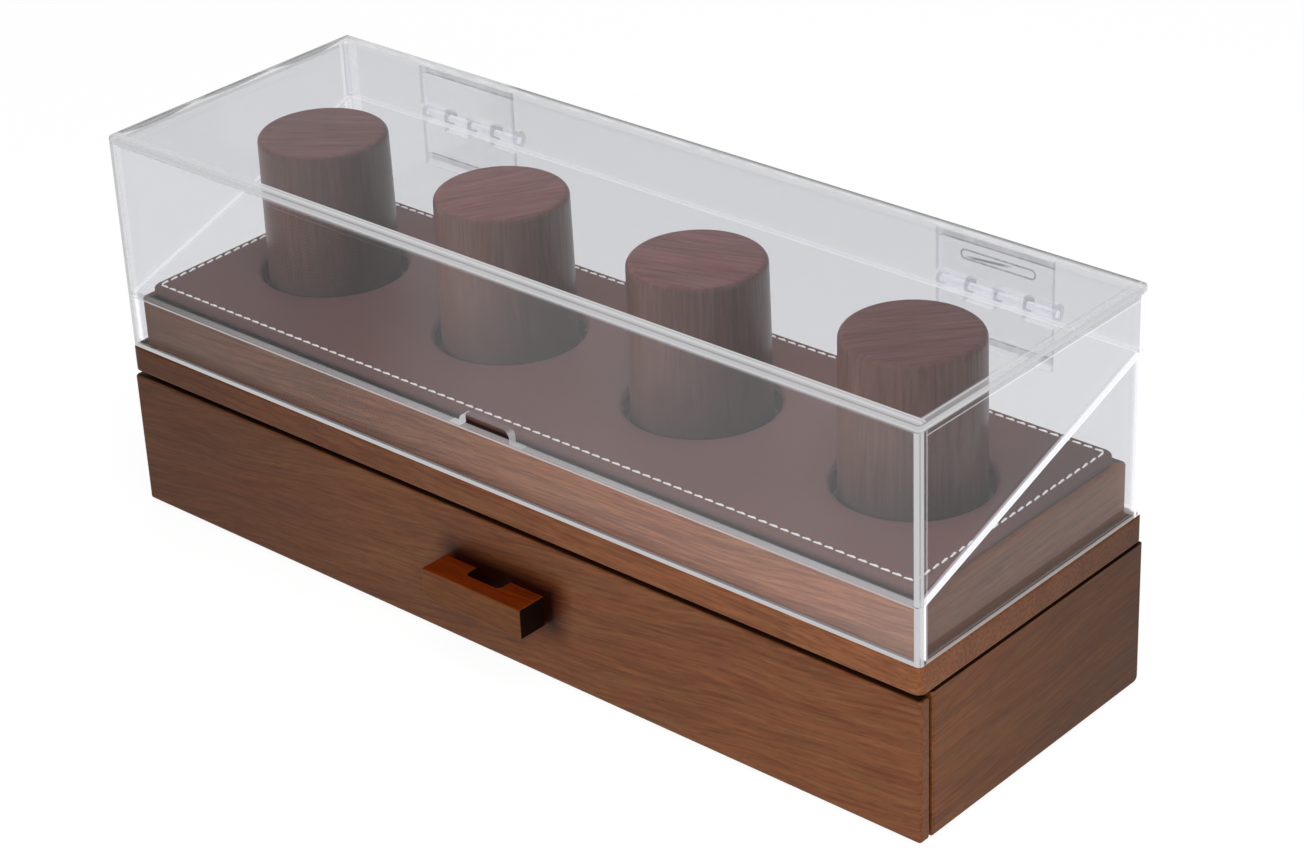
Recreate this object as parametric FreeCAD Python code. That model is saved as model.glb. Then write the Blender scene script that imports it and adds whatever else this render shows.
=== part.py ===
import FreeCAD, Part
import os

# Watch display case. All sizes are in millimetres.
#
# A walnut carcass holds one drawer. Its deck carries a framed plinth with a leather pad, and four
# turned pillars stand in round pockets in it. A clear box stands round the plinth: the lower part
# is fixed to the deck, and the upper part is a lid that tips back on two clear hinges.
#
# X runs along the case, to the right seen from the front. Y runs to the back and Z is up.
# The origin is under the middle of the whole object, at the level that the feet stand on.

# Case outline
CASE_LENGTH = 356.0
CASE_WIDTH = 118.0
ARRIS = 0.8                      # rounding of the wooden pieces' edges
DECK_CORNER = 3.0                # rounding of the deck's upright corners
SIDE_CORNER = 2.2                # rounding of a side's lower corner at the back

# Feet
FOOT_RADIUS = 6.0
FOOT_HEIGHT = 1.5
FOOT_INSET = 15.0                # from the case's outline to a foot's centre

# Carcass
SIDE_HEIGHT = 53.5
SIDE_THICKNESS = 8.0
BACK_THICKNESS = 6.0
BACK_REBATE = 4.0                # how far the back is let into each side
BOTTOM_THICKNESS = 6.0
DECK_THICKNESS = 10.0
SHADOW_LINE_HEIGHT = 1.0         # dark line between each side and the deck
SHADOW_LINE_DEPTH = 1.5
DOWEL_RADIUS = 2.0
DOWEL_IN_SIDE = 12.0
DOWEL_IN_DECK = 6.0
DOWEL_SPACING = 60.0
GLUE_GAP = 0.05                  # round a dowel, a screw or a hinge pin

# Drawer
DRAWER_FRONT_THICKNESS = 5.0
DRAWER_FRONT_ARRIS = 1.2
DRAWER_FRONT_REVEAL = 1.2        # dark line behind the closed front
DRAWER_TOP_GAP = 1.8             # dark line between the front and the deck
DRAWER_WALL = 6.0
DRAWER_HEADROOM = 5.2            # from the drawer's walls up to the deck
DRAWER_SIDE_CLEARANCE = 0.5
DRAWER_RUNNING_CLEARANCE = 0.3
DRAWER_TRAVEL = 80.0
INNER_FRONT_DROP = 4.0           # the inner front passes under the stops
BASE_THICKNESS = 3.0
BASE_GROOVE_DEPTH = 3.0
BASE_GROOVE_HEIGHT = 3.0         # from a wall's lower edge to its groove
LINING_THICKNESS = 1.5
LINING_CLEARANCE = 0.3
KICKER_WIDTH = 10.0
KICKER_CLEARANCE = 0.5
STOP_LENGTH = 20.0
STOP_WIDTH = 8.0
STOP_BITE = 2.0                  # how far a stop reaches below the drawer back's top edge
STOP_INSET = 70.0                # from the case's end to a stop's centre

# Drawer pull
PULL_LENGTH = 45.0
PULL_HEIGHT = 11.3
PULL_DEPTH = 11.4
PULL_GROOVE_LENGTH = 15.5
PULL_GROOVE_DEPTH = 5.6
PULL_GROOVE_RADIUS = 2.0
PULL_ARRIS = 0.4
PULL_SCREW_SPACING = 30.0
PULL_SCREW_RADIUS = 1.5
PULL_SCREW_GRIP = 7.0            # length of a screw inside the pull
SCREW_HEAD_RADIUS = 3.0
SCREW_HEAD_HEIGHT = 1.8
SCREW_HEAD_CHAMFER = 0.6

# Plinth
PLINTH_HEIGHT = 19.0
PLINTH_CLEARANCE = 0.5           # between the plinth and the clear sheets round it
PLINTH_CORNER = 1.8              # rounding of the plinth's upright corners
RAIL_WIDTH = 10.0
PLINTH_SCREW_RADIUS = 1.75
PLINTH_SCREW_HEAD = 3.5
PLINTH_SCREW_GRIP = 10.0
PLINTH_SCREW_SPACING = 56.0      # across the case

# Pad
PAD_HEIGHT = 4.0
PAD_INSET = 2.5                  # from the plinth's outline
PAD_CORNER = 4.0
PAD_EDGE = 1.6                   # rounding of the pad's outer edge
PAD_HOLE_EDGE = 0.8
LEATHER_THICKNESS = 1.2

# Pillars and their pockets
PILLAR_COUNT = 4
PILLAR_END = 43.5                # from the plinth's end to the nearest pillar's centre
PILLAR_BASE_RADIUS = 23.9
PILLAR_TOP_RADIUS = 23.2
PILLAR_HEIGHT = 60.0
PILLAR_TOP_ROUND = 2.2
PILLAR_FOOT_CHAMFER = 0.8
POCKET_CLEARANCE = 2.5
POCKET_DEPTH = 5.5
POCKET_FELT_THICKNESS = 1.0
PILLAR_SEAT_GAP = 0.3

# Clear box
SHEET = 3.0
COVER_INSET = 0.5                # from the case's outline
LID_HEADROOM = 4.4               # from a pillar up to the closed lid
FRONT_SPLIT = 20.7               # height of the fixed part above the deck, at the front
HINGE_DROP = 23.7                # from the lid's top down to the split at the back
SPLIT_GAP = 0.3
SHEET_ROUND = 1.6                # rounding of the clear box's outer edges
NOTCH_WIDTH = 22.5
NOTCH_HEIGHT = 5.0
NOTCH_RADIUS = 3.0

# Hinges
HINGE_WIDTH = 46.0
HINGE_HEIGHT = 39.0
HINGE_INSET = 60.0               # from the case's end to a hinge's centre
LEAF_THICKNESS = 3.0
LEAF_CHAMFER = 1.0
KNUCKLE_RADIUS = 3.5
KNUCKLE_COUNT = 4
KNUCKLE_GAP = 0.3
KNUCKLE_WALL_GAP = 0.3           # between a knuckle and the sheet behind it
KNUCKLE_SWEEP_GAP = 0.7          # between a knuckle and the other leaf's slot
PIN_RADIUS = 1.25

TOLERANCE = 0.01

# Levels
CARCASS_BOTTOM = FOOT_HEIGHT
DECK_BOTTOM = CARCASS_BOTTOM + SIDE_HEIGHT
DECK_TOP = DECK_BOTTOM + DECK_THICKNESS
PLINTH_TOP = DECK_TOP + PLINTH_HEIGHT
PAD_TOP = PLINTH_TOP + PAD_HEIGHT
POCKET_FLOOR = PLINTH_TOP - POCKET_DEPTH
PILLAR_BOTTOM = POCKET_FLOOR + POCKET_FELT_THICKNESS + PILLAR_SEAT_GAP
PILLAR_TOP = PILLAR_BOTTOM + PILLAR_HEIGHT
LID_UNDERSIDE = PILLAR_TOP + LID_HEADROOM
COVER_TOP = LID_UNDERSIDE + SHEET
FRONT_SPLIT_LEVEL = DECK_TOP + FRONT_SPLIT
HINGE_LEVEL = COVER_TOP - HINGE_DROP

# Outline of the case. The pull stands out in front and the hinges behind, by other amounts,
# and the origin is midway between the two.
HINGE_AXIS_OUT = KNUCKLE_WALL_GAP + KNUCKLE_RADIUS
HINGE_REACH = HINGE_AXIS_OUT + KNUCKLE_RADIUS - COVER_INSET
CENTRE_Y = (PULL_DEPTH - HINGE_REACH) / 2
LEFT = -CASE_LENGTH / 2
RIGHT = CASE_LENGTH / 2
FRONT = CENTRE_Y - CASE_WIDTH / 2
BACK = CENTRE_Y + CASE_WIDTH / 2

# Faces inside the carcass
SIDE_FRONT = FRONT + DRAWER_FRONT_THICKNESS + DRAWER_FRONT_REVEAL
BACK_INNER = BACK - BACK_THICKNESS
BAY_LEFT = LEFT + SIDE_THICKNESS
BAY_RIGHT = RIGHT - SIDE_THICKNESS
BAY_FLOOR = CARCASS_BOTTOM + BOTTOM_THICKNESS

# Drawer box
BOX_LEFT = BAY_LEFT + DRAWER_SIDE_CLEARANCE
BOX_RIGHT = BAY_RIGHT - DRAWER_SIDE_CLEARANCE
BOX_FRONT = FRONT + DRAWER_FRONT_THICKNESS
BOX_BACK = BACK_INNER - DRAWER_RUNNING_CLEARANCE
BOX_BOTTOM = BAY_FLOOR + DRAWER_RUNNING_CLEARANCE
BOX_TOP = DECK_BOTTOM - DRAWER_HEADROOM
BASE_BOTTOM = BOX_BOTTOM + BASE_GROOVE_HEIGHT
BASE_TOP = BASE_BOTTOM + BASE_THICKNESS
DRAWER_FRONT_TOP = DECK_BOTTOM - DRAWER_TOP_GAP
PULL_LEVEL = (CARCASS_BOTTOM + DRAWER_FRONT_TOP) / 2
INNER_FRONT_TOP = BOX_TOP - INNER_FRONT_DROP

# Clear box, plinth and pad outlines
COVER_LEFT = LEFT + COVER_INSET
COVER_RIGHT = RIGHT - COVER_INSET
COVER_FRONT = FRONT + COVER_INSET
COVER_BACK = BACK - COVER_INSET
PLINTH_INSET = COVER_INSET + SHEET + PLINTH_CLEARANCE
PLINTH_LEFT = LEFT + PLINTH_INSET
PLINTH_RIGHT = RIGHT - PLINTH_INSET
PLINTH_FRONT = FRONT + PLINTH_INSET
PLINTH_BACK = BACK - PLINTH_INSET
PILLAR_PITCH = (PLINTH_RIGHT - PLINTH_LEFT - 2 * PILLAR_END) / (PILLAR_COUNT - 1)
POCKET_RADIUS = PILLAR_BASE_RADIUS + POCKET_CLEARANCE
HINGE_AXIS_Y = COVER_BACK + HINGE_AXIS_OUT

UP = FreeCAD.Vector(0, 0, 1)
ALONG = FreeCAD.Vector(1, 0, 0)
BACKWARD = FreeCAD.Vector(0, 1, 0)


def box(x0, x1, y0, y1, z0, z1):
    """A block between two corners."""
    return Part.makeBox(x1 - x0, y1 - y0, z1 - z0, FreeCAD.Vector(x0, y0, z0))


def cylinder(radius, height, x, y, z, direction=UP):
    return Part.makeCylinder(radius, height, FreeCAD.Vector(x, y, z), direction)


def edges_in(shape, x=None, y=None, z=None):
    """The edges that lie wholly in each plane that is given."""
    chosen = []
    for edge in shape.Edges:
        bounds = edge.BoundBox
        lows = (bounds.XMin, bounds.YMin, bounds.ZMin)
        highs = (bounds.XMax, bounds.YMax, bounds.ZMax)
        planes = [span for span in zip((x, y, z), lows, highs) if span[0] is not None]
        if all(abs(low - at) < TOLERANCE and abs(high - at) < TOLERANCE for at, low, high in planes):
            chosen.append(edge)
    return chosen


def upright_corners(shape, x_values, y_values):
    """The upright edges at the crossings of the planes that are given."""
    return [edge for x in x_values for y in y_values for edge in edges_in(shape, x=x, y=y)]


def prism_across(points, x0, x1):
    """A prism along X over an outline of (y, z) points."""
    corners = [FreeCAD.Vector(x0, y, z) for y, z in points]
    face = Part.Face(Part.makePolygon(corners + corners[:1]))
    return face.extrude(ALONG * (x1 - x0))


def prism_up(points, z0, z1):
    """A prism along Z over an outline of (x, y) points."""
    corners = [FreeCAD.Vector(x, y, z0) for x, y in points]
    face = Part.Face(Part.makePolygon(corners + corners[:1]))
    return face.extrude(UP * (z1 - z0))


def pillar_centres():
    return [PLINTH_LEFT + PILLAR_END + PILLAR_PITCH * index for index in range(PILLAR_COUNT)]


def dowel_places():
    """Centres of the dowels that join the sides to the deck."""
    xs = ((LEFT + BAY_LEFT) / 2, (RIGHT + BAY_RIGHT) / 2)
    ys = (CENTRE_Y - DOWEL_SPACING / 2, CENTRE_Y + DOWEL_SPACING / 2)
    return [(x, y) for x in xs for y in ys]


def plinth_screw_places():
    """Centres of the screws that hold the plinth's core, inward of each end's pocket."""
    centres = pillar_centres()
    xs = (centres[0] + PILLAR_PITCH / 2, centres[-1] - PILLAR_PITCH / 2)
    ys = (CENTRE_Y - PLINTH_SCREW_SPACING / 2, CENTRE_Y + PLINTH_SCREW_SPACING / 2)
    return [(x, y) for x in xs for y in ys]


def pull_screw_places():
    return (-PULL_SCREW_SPACING / 2, PULL_SCREW_SPACING / 2)


# Carcass

def carcass_side(outer, inner):
    """One side: rebated behind for the back, with a shadow line under the deck."""
    x0, x1 = sorted((outer, inner))
    side = box(x0, x1, SIDE_FRONT, BACK, CARCASS_BOTTOM, DECK_BOTTOM)
    side = side.makeFillet(SIDE_CORNER, edges_in(side, y=BACK, z=CARCASS_BOTTOM))
    outline = [edge for edge in edges_in(side, x=outer) if edge.BoundBox.ZMin < DECK_BOTTOM - TOLERANCE]
    side = side.makeFillet(ARRIS, outline)
    inward = 1 if inner > outer else -1
    shadow = sorted((outer, outer + inward * SHADOW_LINE_DEPTH))
    side = side.cut(box(*shadow, SIDE_FRONT, BACK, DECK_BOTTOM - SHADOW_LINE_HEIGHT, DECK_BOTTOM))
    rebate = sorted((inner, inner - inward * BACK_REBATE))
    side = side.cut(box(*rebate, BACK_INNER, BACK, CARCASS_BOTTOM, DECK_BOTTOM))
    for x, y in dowel_places():
        hole = cylinder(DOWEL_RADIUS + GLUE_GAP, DOWEL_IN_SIDE + GLUE_GAP, x, y, DECK_BOTTOM, -UP)
        side = side.cut(hole)
    return side


def back_panel():
    x0, x1 = BAY_LEFT - BACK_REBATE, BAY_RIGHT + BACK_REBATE
    return box(x0, x1, BACK_INNER, BACK, CARCASS_BOTTOM, DECK_BOTTOM)


def bottom_board():
    return box(BAY_LEFT, BAY_RIGHT, SIDE_FRONT, BACK_INNER, CARCASS_BOTTOM, BAY_FLOOR)


def deck():
    """The board over the drawer, with soft edges and blind holes for dowels and screws."""
    board = box(LEFT, RIGHT, FRONT, BACK, DECK_BOTTOM, DECK_TOP)
    board = board.makeFillet(DECK_CORNER, upright_corners(board, (LEFT, RIGHT), (FRONT, BACK)))
    board = board.makeFillet(ARRIS, edges_in(board, z=DECK_TOP) + edges_in(board, z=DECK_BOTTOM))
    for x, y in dowel_places():
        board = board.cut(cylinder(DOWEL_RADIUS + GLUE_GAP, DOWEL_IN_DECK + GLUE_GAP, x, y, DECK_BOTTOM))
    return board.cut(plinth_screws(GLUE_GAP))


def carcass_dowels():
    """Four dowels, each half in a side and half in the deck."""
    length = DOWEL_IN_SIDE + DOWEL_IN_DECK
    return [cylinder(DOWEL_RADIUS, length, x, y, DECK_BOTTOM - DOWEL_IN_SIDE) for x, y in dowel_places()]


def kicker(wall, inward):
    """A strip under the deck that keeps the open drawer level."""
    x0, x1 = sorted((wall, wall + inward * KICKER_WIDTH))
    return box(x0, x1, SIDE_FRONT, BACK_INNER, BOX_TOP + KICKER_CLEARANCE, DECK_BOTTOM)


def drawer_stop(x):
    """A block under the deck that meets the drawer's back when the drawer is fully out."""
    rear = BOX_BACK - DRAWER_WALL - DRAWER_TRAVEL - DRAWER_RUNNING_CLEARANCE
    half = STOP_LENGTH / 2
    return box(x - half, x + half, rear - STOP_WIDTH, rear, BOX_TOP - STOP_BITE, DECK_BOTTOM)


def feet():
    """Four round pads under the corners of the bottom board, by name."""
    pads = {}
    for row, y in (("front", FRONT + FOOT_INSET), ("rear", BACK - FOOT_INSET)):
        for end, x in (("left", LEFT + FOOT_INSET), ("right", RIGHT - FOOT_INSET)):
            pads[f"foot_{row}_{end}"] = cylinder(FOOT_RADIUS, FOOT_HEIGHT, x, y, 0)
    return pads


# Drawer

def drill_for_pull(piece, start, depth):
    """Drill both holes for the pull's screws, from start towards the back."""
    for x in pull_screw_places():
        hole = cylinder(PULL_SCREW_RADIUS + GLUE_GAP, depth, x, start, PULL_LEVEL, BACKWARD)
        piece = piece.cut(hole)
    return piece


def drawer_front():
    """The show front. It laps the carcass all round and is drilled for the pull's screws."""
    front = box(LEFT, RIGHT, FRONT, BOX_FRONT, CARCASS_BOTTOM, DRAWER_FRONT_TOP)
    front = front.makeFillet(DRAWER_FRONT_ARRIS, front.Edges)
    return drill_for_pull(front, FRONT, DRAWER_FRONT_THICKNESS)


def pull():
    """A square bar with a finger groove behind its middle, open above and below."""
    front = FRONT - PULL_DEPTH
    low = PULL_LEVEL - PULL_HEIGHT / 2
    high = PULL_LEVEL + PULL_HEIGHT / 2
    half = PULL_LENGTH / 2
    bar = box(-half, half, front, FRONT, low, high)
    groove_half = PULL_GROOVE_LENGTH / 2
    groove = box(-groove_half, groove_half, FRONT - PULL_GROOVE_DEPTH, FRONT, low, high)
    round_corners = upright_corners(groove, (-groove_half, groove_half), (FRONT - PULL_GROOVE_DEPTH,))
    groove = groove.makeFillet(PULL_GROOVE_RADIUS, round_corners)
    soft = edges_in(bar, y=front) + edges_in(bar, x=-half, z=low) + edges_in(bar, x=-half, z=high)
    soft += edges_in(bar, x=half, z=low) + edges_in(bar, x=half, z=high)
    bar = bar.makeFillet(PULL_ARRIS, soft).cut(groove)
    depth = PULL_SCREW_GRIP + GLUE_GAP
    return drill_for_pull(bar, FRONT - depth, depth)


def pull_screws():
    """Two flat-headed screws from inside the drawer, through both fronts into the pull."""
    inner_face = BOX_FRONT + DRAWER_WALL
    length = PULL_SCREW_GRIP + DRAWER_FRONT_THICKNESS + DRAWER_WALL
    screws = []
    for x in pull_screw_places():
        shank = cylinder(PULL_SCREW_RADIUS, length, x, inner_face, PULL_LEVEL, -BACKWARD)
        head = cylinder(SCREW_HEAD_RADIUS, SCREW_HEAD_HEIGHT, x, inner_face, PULL_LEVEL, BACKWARD)
        head = head.makeChamfer(SCREW_HEAD_CHAMFER, edges_in(head, y=inner_face + SCREW_HEAD_HEIGHT))
        screws.append(shank.fuse(head))
    return screws


def base_panel():
    """The drawer's base, let into grooves in all four walls."""
    reach = DRAWER_WALL - BASE_GROOVE_DEPTH
    x0, x1 = BOX_LEFT + reach, BOX_RIGHT - reach
    return box(x0, x1, BOX_FRONT + reach, BOX_BACK - reach, BASE_BOTTOM, BASE_TOP)


def drawer_side(outer, inward):
    """A drawer wall that runs from the show front to the drawer's back face."""
    x0, x1 = sorted((outer, outer + inward * DRAWER_WALL))
    return box(x0, x1, BOX_FRONT, BOX_BACK, BOX_BOTTOM, BOX_TOP).cut(base_panel())


def inner_front():
    x0 = BOX_LEFT + DRAWER_WALL
    x1 = BOX_RIGHT - DRAWER_WALL
    wall = box(x0, x1, BOX_FRONT, BOX_FRONT + DRAWER_WALL, BOX_BOTTOM, INNER_FRONT_TOP).cut(base_panel())
    return drill_for_pull(wall, BOX_FRONT, DRAWER_WALL)


def drawer_back():
    x0 = BOX_LEFT + DRAWER_WALL
    x1 = BOX_RIGHT - DRAWER_WALL
    return box(x0, x1, BOX_BACK - DRAWER_WALL, BOX_BACK, BOX_BOTTOM, BOX_TOP).cut(base_panel())


def drawer_lining():
    """The felt that lies on the drawer's base."""
    inset = DRAWER_WALL + LINING_CLEARANCE
    top = BASE_TOP + LINING_THICKNESS
    return box(BOX_LEFT + inset, BOX_RIGHT - inset, BOX_FRONT + inset, BOX_BACK - inset, BASE_TOP, top)


# Plinth and pad

def plinth_outline(inset):
    """The plinth's four corners, drawn in by an inset, from the front left one round to the right."""
    x0, x1 = PLINTH_LEFT + inset, PLINTH_RIGHT - inset
    y0, y1 = PLINTH_FRONT + inset, PLINTH_BACK - inset
    return ((x0, y0), (x1, y0), (x1, y1), (x0, y1))


def plinth_rails():
    """Four mitred rails round the core, by name, with soft outer edges."""
    outer = plinth_outline(0)
    inner = plinth_outline(RAIL_WIDTH)
    block = box(PLINTH_LEFT, PLINTH_RIGHT, PLINTH_FRONT, PLINTH_BACK, DECK_TOP, PLINTH_TOP)
    corners = upright_corners(block, (PLINTH_LEFT, PLINTH_RIGHT), (PLINTH_FRONT, PLINTH_BACK))
    block = block.makeFillet(PLINTH_CORNER, corners)
    block = block.makeFillet(ARRIS, edges_in(block, z=PLINTH_TOP))
    rails = {}
    for index, name in enumerate(("front", "right", "rear", "left")):
        after = (index + 1) % len(outer)
        outline = (outer[index], outer[after], inner[after], inner[index])
        rails[f"plinth_rail_{name}"] = block.common(prism_up(outline, DECK_TOP, PLINTH_TOP))
    return rails


def plinth_core():
    """The board inside the rails, with a flat-bottomed pocket for each pillar."""
    core = box(PLINTH_LEFT + RAIL_WIDTH, PLINTH_RIGHT - RAIL_WIDTH,
               PLINTH_FRONT + RAIL_WIDTH, PLINTH_BACK - RAIL_WIDTH, DECK_TOP, PLINTH_TOP)
    for x in pillar_centres():
        core = core.cut(cylinder(POCKET_RADIUS, POCKET_DEPTH, x, CENTRE_Y, POCKET_FLOOR))
    return core.cut(plinth_screws(GLUE_GAP))


def plinth_screws(play=0.0):
    """Four countersunk screws, up through the deck into the core."""
    head_height = PLINTH_SCREW_HEAD - PLINTH_SCREW_RADIUS
    screws = []
    for x, y in plinth_screw_places():
        length = DECK_THICKNESS + PLINTH_SCREW_GRIP + play
        shank = cylinder(PLINTH_SCREW_RADIUS + play, length, x, y, DECK_BOTTOM)
        place = FreeCAD.Vector(x, y, DECK_BOTTOM)
        head = Part.makeCone(PLINTH_SCREW_HEAD + play, PLINTH_SCREW_RADIUS + play, head_height, place)
        screws.append(shank.fuse(head))
    return screws


def pad_block(inset, height, corner, hole_radius):
    """A rounded plate on the plinth, with a round hole for each pillar."""
    x0, x1 = PLINTH_LEFT + inset, PLINTH_RIGHT - inset
    y0, y1 = PLINTH_FRONT + inset, PLINTH_BACK - inset
    plate = box(x0, x1, y0, y1, PLINTH_TOP, PLINTH_TOP + height)
    plate = plate.makeFillet(corner, upright_corners(plate, (x0, x1), (y0, y1)))
    for x in pillar_centres():
        plate = plate.cut(cylinder(hole_radius, height, x, CENTRE_Y, PLINTH_TOP))
    return plate


def pad_board():
    """The stiff board inside the pad."""
    inset = PAD_INSET + LEATHER_THICKNESS
    height = PAD_HEIGHT - LEATHER_THICKNESS
    return pad_block(inset, height, PAD_CORNER - LEATHER_THICKNESS, POCKET_RADIUS + LEATHER_THICKNESS)


def pad_leather():
    """The leather, drawn over the board's edges and turned down into the holes."""
    skin = pad_block(PAD_INSET, PAD_HEIGHT, PAD_CORNER, POCKET_RADIUS)
    skin = skin.makeFillet(PAD_EDGE, [rim for rim in edges_in(skin, z=PAD_TOP) if not rim.isClosed()])
    skin = skin.makeChamfer(PAD_HOLE_EDGE, [rim for rim in edges_in(skin, z=PAD_TOP) if rim.isClosed()])
    return skin.cut(pad_board())


def pocket_felt(x):
    return cylinder(POCKET_RADIUS - LINING_CLEARANCE, POCKET_FELT_THICKNESS, x, CENTRE_Y, POCKET_FLOOR)


def pillar(x):
    """A turned pillar that tapers a little, with a rounded top edge and an eased foot."""
    place = FreeCAD.Vector(x, CENTRE_Y, PILLAR_BOTTOM)
    body = Part.makeCone(PILLAR_BASE_RADIUS, PILLAR_TOP_RADIUS, PILLAR_HEIGHT, place)
    body = body.makeFillet(PILLAR_TOP_ROUND, edges_in(body, z=PILLAR_TOP))
    return body.makeChamfer(PILLAR_FOOT_CHAMFER, edges_in(body, z=PILLAR_BOTTOM))


# Clear box

def soften_ends(sheet, y):
    """Round the outer upright edges of a front or back sheet."""
    return sheet.makeFillet(SHEET_ROUND, upright_corners(sheet, (COVER_LEFT, COVER_RIGHT), (y,)))


def end_sheet(x0, fixed):
    """One end of the clear box. The cut between its two parts climbs towards the back."""
    y0 = COVER_FRONT + SHEET
    y1 = COVER_BACK - SHEET
    half = SPLIT_GAP / 2
    if fixed:
        cut = ((y1, HINGE_LEVEL - half), (y0, FRONT_SPLIT_LEVEL - half))
        outline = ((y0, DECK_TOP), (y1, DECK_TOP)) + cut
    else:
        cut = ((y0, FRONT_SPLIT_LEVEL + half), (y1, HINGE_LEVEL + half))
        outline = cut + ((y1, LID_UNDERSIDE), (y0, LID_UNDERSIDE))
    return prism_across(outline, x0, x0 + SHEET)


def cover_front():
    top = FRONT_SPLIT_LEVEL - SPLIT_GAP / 2
    sheet = box(COVER_LEFT, COVER_RIGHT, COVER_FRONT, COVER_FRONT + SHEET, DECK_TOP, top)
    return soften_ends(sheet, COVER_FRONT)


def cover_rear():
    top = HINGE_LEVEL - SPLIT_GAP / 2
    sheet = box(COVER_LEFT, COVER_RIGHT, COVER_BACK - SHEET, COVER_BACK, DECK_TOP, top)
    return soften_ends(sheet, COVER_BACK)


def lid_top():
    sheet = box(COVER_LEFT, COVER_RIGHT, COVER_FRONT, COVER_BACK, LID_UNDERSIDE, COVER_TOP)
    corners = upright_corners(sheet, (COVER_LEFT, COVER_RIGHT), (COVER_FRONT, COVER_BACK))
    return sheet.makeFillet(SHEET_ROUND, corners + edges_in(sheet, z=COVER_TOP))


def lid_front():
    """The lid's front, with a finger notch in the middle of its lower edge."""
    bottom = FRONT_SPLIT_LEVEL + SPLIT_GAP / 2
    sheet = box(COVER_LEFT, COVER_RIGHT, COVER_FRONT, COVER_FRONT + SHEET, bottom, LID_UNDERSIDE)
    sheet = soften_ends(sheet, COVER_FRONT)
    half = NOTCH_WIDTH / 2
    high = bottom + NOTCH_HEIGHT
    notch = box(-half, half, COVER_FRONT, COVER_FRONT + SHEET, bottom, high)
    upper = edges_in(notch, x=-half, z=high) + edges_in(notch, x=half, z=high)
    return sheet.cut(notch.makeFillet(NOTCH_RADIUS, upper))


def lid_rear():
    bottom = HINGE_LEVEL + SPLIT_GAP / 2
    sheet = box(COVER_LEFT, COVER_RIGHT, COVER_BACK - SHEET, COVER_BACK, bottom, LID_UNDERSIDE)
    return soften_ends(sheet, COVER_BACK)


# Hinges

def knuckle_spans(x, owner):
    """The (low, high) X limits of one leaf's knuckles. The two leaves take turns."""
    width = (HINGE_WIDTH - KNUCKLE_GAP * (KNUCKLE_COUNT - 1)) / KNUCKLE_COUNT
    left = x - HINGE_WIDTH / 2
    starts = [left + (width + KNUCKLE_GAP) * index for index in range(owner, KNUCKLE_COUNT, 2)]
    return [(start, start + width) for start in starts]


def hinge_leaf(x, upward, owner):
    """A leaf on the outside of the clear box: a plate with knuckles round the pin."""
    x0, x1 = x - HINGE_WIDTH / 2, x + HINGE_WIDTH / 2
    y0, y1 = COVER_BACK, COVER_BACK + LEAF_THICKNESS
    far = HINGE_LEVEL + upward * HINGE_HEIGHT / 2
    near = HINGE_LEVEL + upward * (KNUCKLE_RADIUS + KNUCKLE_SWEEP_GAP)
    start = HINGE_LEVEL + upward * SPLIT_GAP / 2
    leaf = box(x0, x1, y0, y1, *sorted((near, far)))
    rim = edges_in(leaf, y=y1, z=far) + upright_corners(leaf, (x0, x1), (y1,))
    leaf = leaf.makeChamfer(LEAF_CHAMFER, rim)
    for low, high in knuckle_spans(x, owner):
        web = box(low, high, y0, y1, *sorted((start, near)))
        barrel = cylinder(KNUCKLE_RADIUS, high - low, low, HINGE_AXIS_Y, HINGE_LEVEL, ALONG)
        leaf = leaf.fuse(web).fuse(barrel)
    hole = cylinder(PIN_RADIUS + GLUE_GAP, HINGE_WIDTH, x0, HINGE_AXIS_Y, HINGE_LEVEL, ALONG)
    return leaf.cut(hole).removeSplitter()


def hinge_pin(x):
    return cylinder(PIN_RADIUS, HINGE_WIDTH, x - HINGE_WIDTH / 2, HINGE_AXIS_Y, HINGE_LEVEL, ALONG)


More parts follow.
